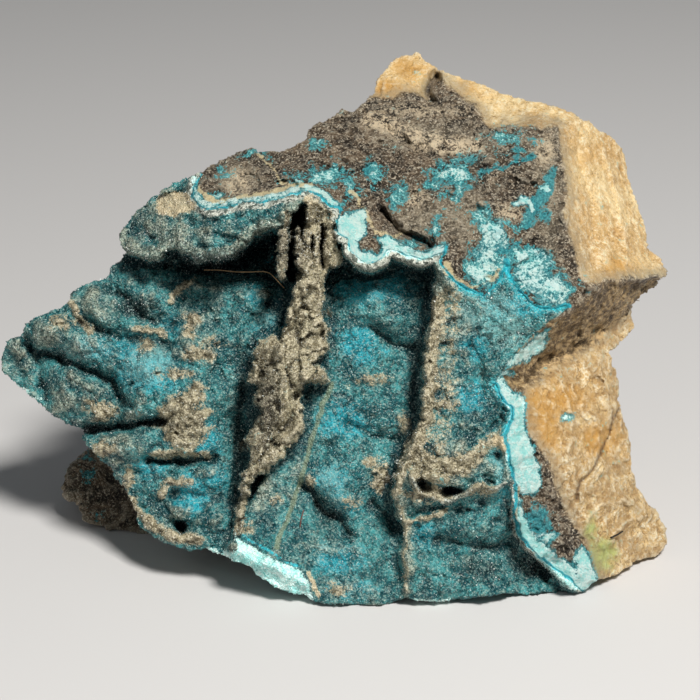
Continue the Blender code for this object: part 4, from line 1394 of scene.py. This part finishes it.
    def height(self):
        """Bumps finer than the mesh, in millimetres."""
        domes = self.number("ShaderNodeTexVoronoi", {"Vector": self.place, "Scale": 1 / 0.26}, "Distance")
        grained = domes * -0.2 + self.small * 0.25
        stony = self.fine * 0.6 + self.small * 0.6
        glassy = self.fine * 0.3 + self.small * 0.4
        return self.blend(self.druse_share, self.blend(self.jasper_share, stony, glassy), grained)


STONE_PAINT = StonePaint().material

# ---------------------------------------------------------------- the stone


def marked(points):
    """What each point is made of, how far it lies behind the face, and where it lies across the map."""
    across, down, depth = mapped(points)
    behind = looked_up(FACE, across, down) - depth
    attributes = {key: looked_up(raster, across, down) for key, raster in PAINT.items()}
    attributes["druse"] = np.clip(attributes["druse"], -MARK_DEPTH, MARK_DEPTH)
    attributes["druse"] -= DRUSE_FADE * np.maximum(behind - DRUSE_DEPTH, 0)
    attributes["jasper"] = np.clip(attributes["jasper"], -MARK_DEPTH, MARK_DEPTH)
    for key in FACE_MARKS:
        attributes[key] *= smooth(4, 1, behind)
    return attributes, behind, across


before, quads = carved()
attributes, behind, across = marked(before)
points = roughened(before, normals_of(before, quads), attributes, behind)
points, triangles, before = thinned(points, quads, before, behind)
attributes, behind, across = marked(before)
normals = normals_of(points, triangles)
attributes["behind"] = behind
# how far each point stands out, which paints highlights on crests and shade in hollows
attributes["crest"] = np.clip(standing_out(points, normals, triangles) / CREST_HEIGHT, -1, 1)
attributes["tint"] = np.full(len(points), 0.5)

in_front = behind[triangles].mean(axis=1) < FRONT_DEPTH
in_druse = attributes["druse"][triangles].mean(axis=1) > 0
on_left = across[triangles].mean(axis=1) < HALFWAY
for name, chosen, around_back in (
    ("left_druse", in_front & in_druse & on_left, False),
    ("right_druse", in_front & in_druse & ~on_left, False),
    ("face_rock", in_front & ~in_druse, False),
    ("back_rock", ~in_front, True),
):
    cut_out(name, points, normals, triangles[chosen], attributes, around_back)

rng = np.random.default_rng(7)
for name, chosen in (("left_crystals", on_left), ("right_crystals", ~on_left)):
    crystals(name, points, normals, triangles[in_front & in_druse & chosen], attributes, rng)


def fibre(name, radius, colour, path):
    """A thin tube that lies on the stone along a path over the map."""
    steps = np.linspace(0, len(path) - 1, FIBRE_STEPS * len(path))
    over, along = (np.interp(steps, range(len(path)), values) for values in np.transpose(path))
    bend = np.ones(2 * FIBRE_BEND + 1) / (2 * FIBRE_BEND + 1)
    over, along = (np.convolve(np.pad(values, FIBRE_BEND, "edge"), bend, "valid") for values in (over, along))
    resting = looked_up(nearby(FACE, 2, np.max), over, along) + radius
    depth = np.maximum(resting, np.linspace(resting[0], resting[-1], len(resting)))
    middle = np.stack(placed(over, along, depth), axis=1)
    ahead = np.gradient(middle, axis=0)
    ahead /= np.linalg.norm(ahead, axis=1, keepdims=True)
    side = np.cross(ahead, (0, 0, 1))
    side /= np.linalg.norm(side, axis=1, keepdims=True)
    turns = np.arange(FIBRE_SIDES) / FIBRE_SIDES * math.tau
    other = np.cross(side, ahead)
    ring = side[:, None] * np.cos(turns)[:, None] + other[:, None] * np.sin(turns)[:, None]
    vertices = (middle[:, None] + radius * ring).reshape(-1, 3)
    first = np.arange(len(middle) - 1)[:, None] * FIBRE_SIDES + np.arange(FIBRE_SIDES)
    second = first - first % FIBRE_SIDES + (first + 1) % FIBRE_SIDES
    faces = np.stack([first, second, second + FIBRE_SIDES, first + FIBRE_SIDES], axis=-1).reshape(-1, 4)
    mesh = mesh_of(name, vertices, faces)
    mesh.materials.append(plain_paint(name, shown(*colour)))
    thread = bpy.data.objects.new(name, mesh)
    bpy.context.scene.collection.objects.link(thread)
    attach(thread, "root")


for number, (radius, colour, path) in enumerate(FIBRES, start=1):
    fibre(f"fibre_{number}", radius, colour, path)

# ---------------------------------------------------------------- floor, light and camera

CENTRE = Vector(FACE_CENTRE) * METRE
bpy.ops.mesh.primitive_plane_add(size=FLOOR_SIZE)
floor = bpy.context.object
floor.name = "floor"
floor.data.materials.append(plain_paint("pale_floor", (0.62, 0.61, 0.6, 1), roughness=0.9))


def softbox(name, azimuth, elevation, distance, size, watts, tint):
    """A square soft light that faces the stone from a direction, in degrees and metres."""
    lamp = bpy.data.lights.new(name, "AREA")
    lamp.size = size
    lamp.energy = watts
    lamp.color = tint
    holder = bpy.data.objects.new(name, lamp)
    turn, tilt = math.radians(azimuth), math.radians(elevation)
    away = Vector((math.sin(turn) * math.cos(tilt), -math.cos(turn) * math.cos(tilt), math.sin(tilt)))
    holder.location = CENTRE + away * distance
    holder.rotation_euler = away.to_track_quat("Z", "Y").to_euler()
    bpy.context.scene.collection.objects.link(holder)


softbox("key", 27, 54, 0.6, 0.12, 5.0, (1.0, 0.98, 0.95))
softbox("fill", -40, 30, 0.8, 0.6, 0.45, (0.93, 0.97, 1.0))
world = bpy.context.scene.world or bpy.data.worlds.new("world")
bpy.context.scene.world = world
world.use_nodes = True
background = world.node_tree.nodes["Background"].inputs
background["Color"].default_value = (0.8, 0.85, 0.9, 1)
background["Strength"].default_value = 0.12

camera = bpy.data.objects.new("camera", bpy.data.cameras.new("camera"))
bpy.context.scene.collection.objects.link(camera)
camera.data.sensor_width = SENSOR_WIDTH
camera.data.lens = SENSOR_WIDTH * EYE_DISTANCE / (FACE_STEP * FACE_STEPS)
toward = Vector((0, -math.cos(FACE_LEAN), math.sin(FACE_LEAN)))
camera.location = CENTRE + toward * EYE_DISTANCE * METRE
camera.rotation_euler = (math.pi / 2 - FACE_LEAN, 0, 0)
bpy.context.scene.camera = camera
bpy.context.scene.view_settings.view_transform = "Standard"
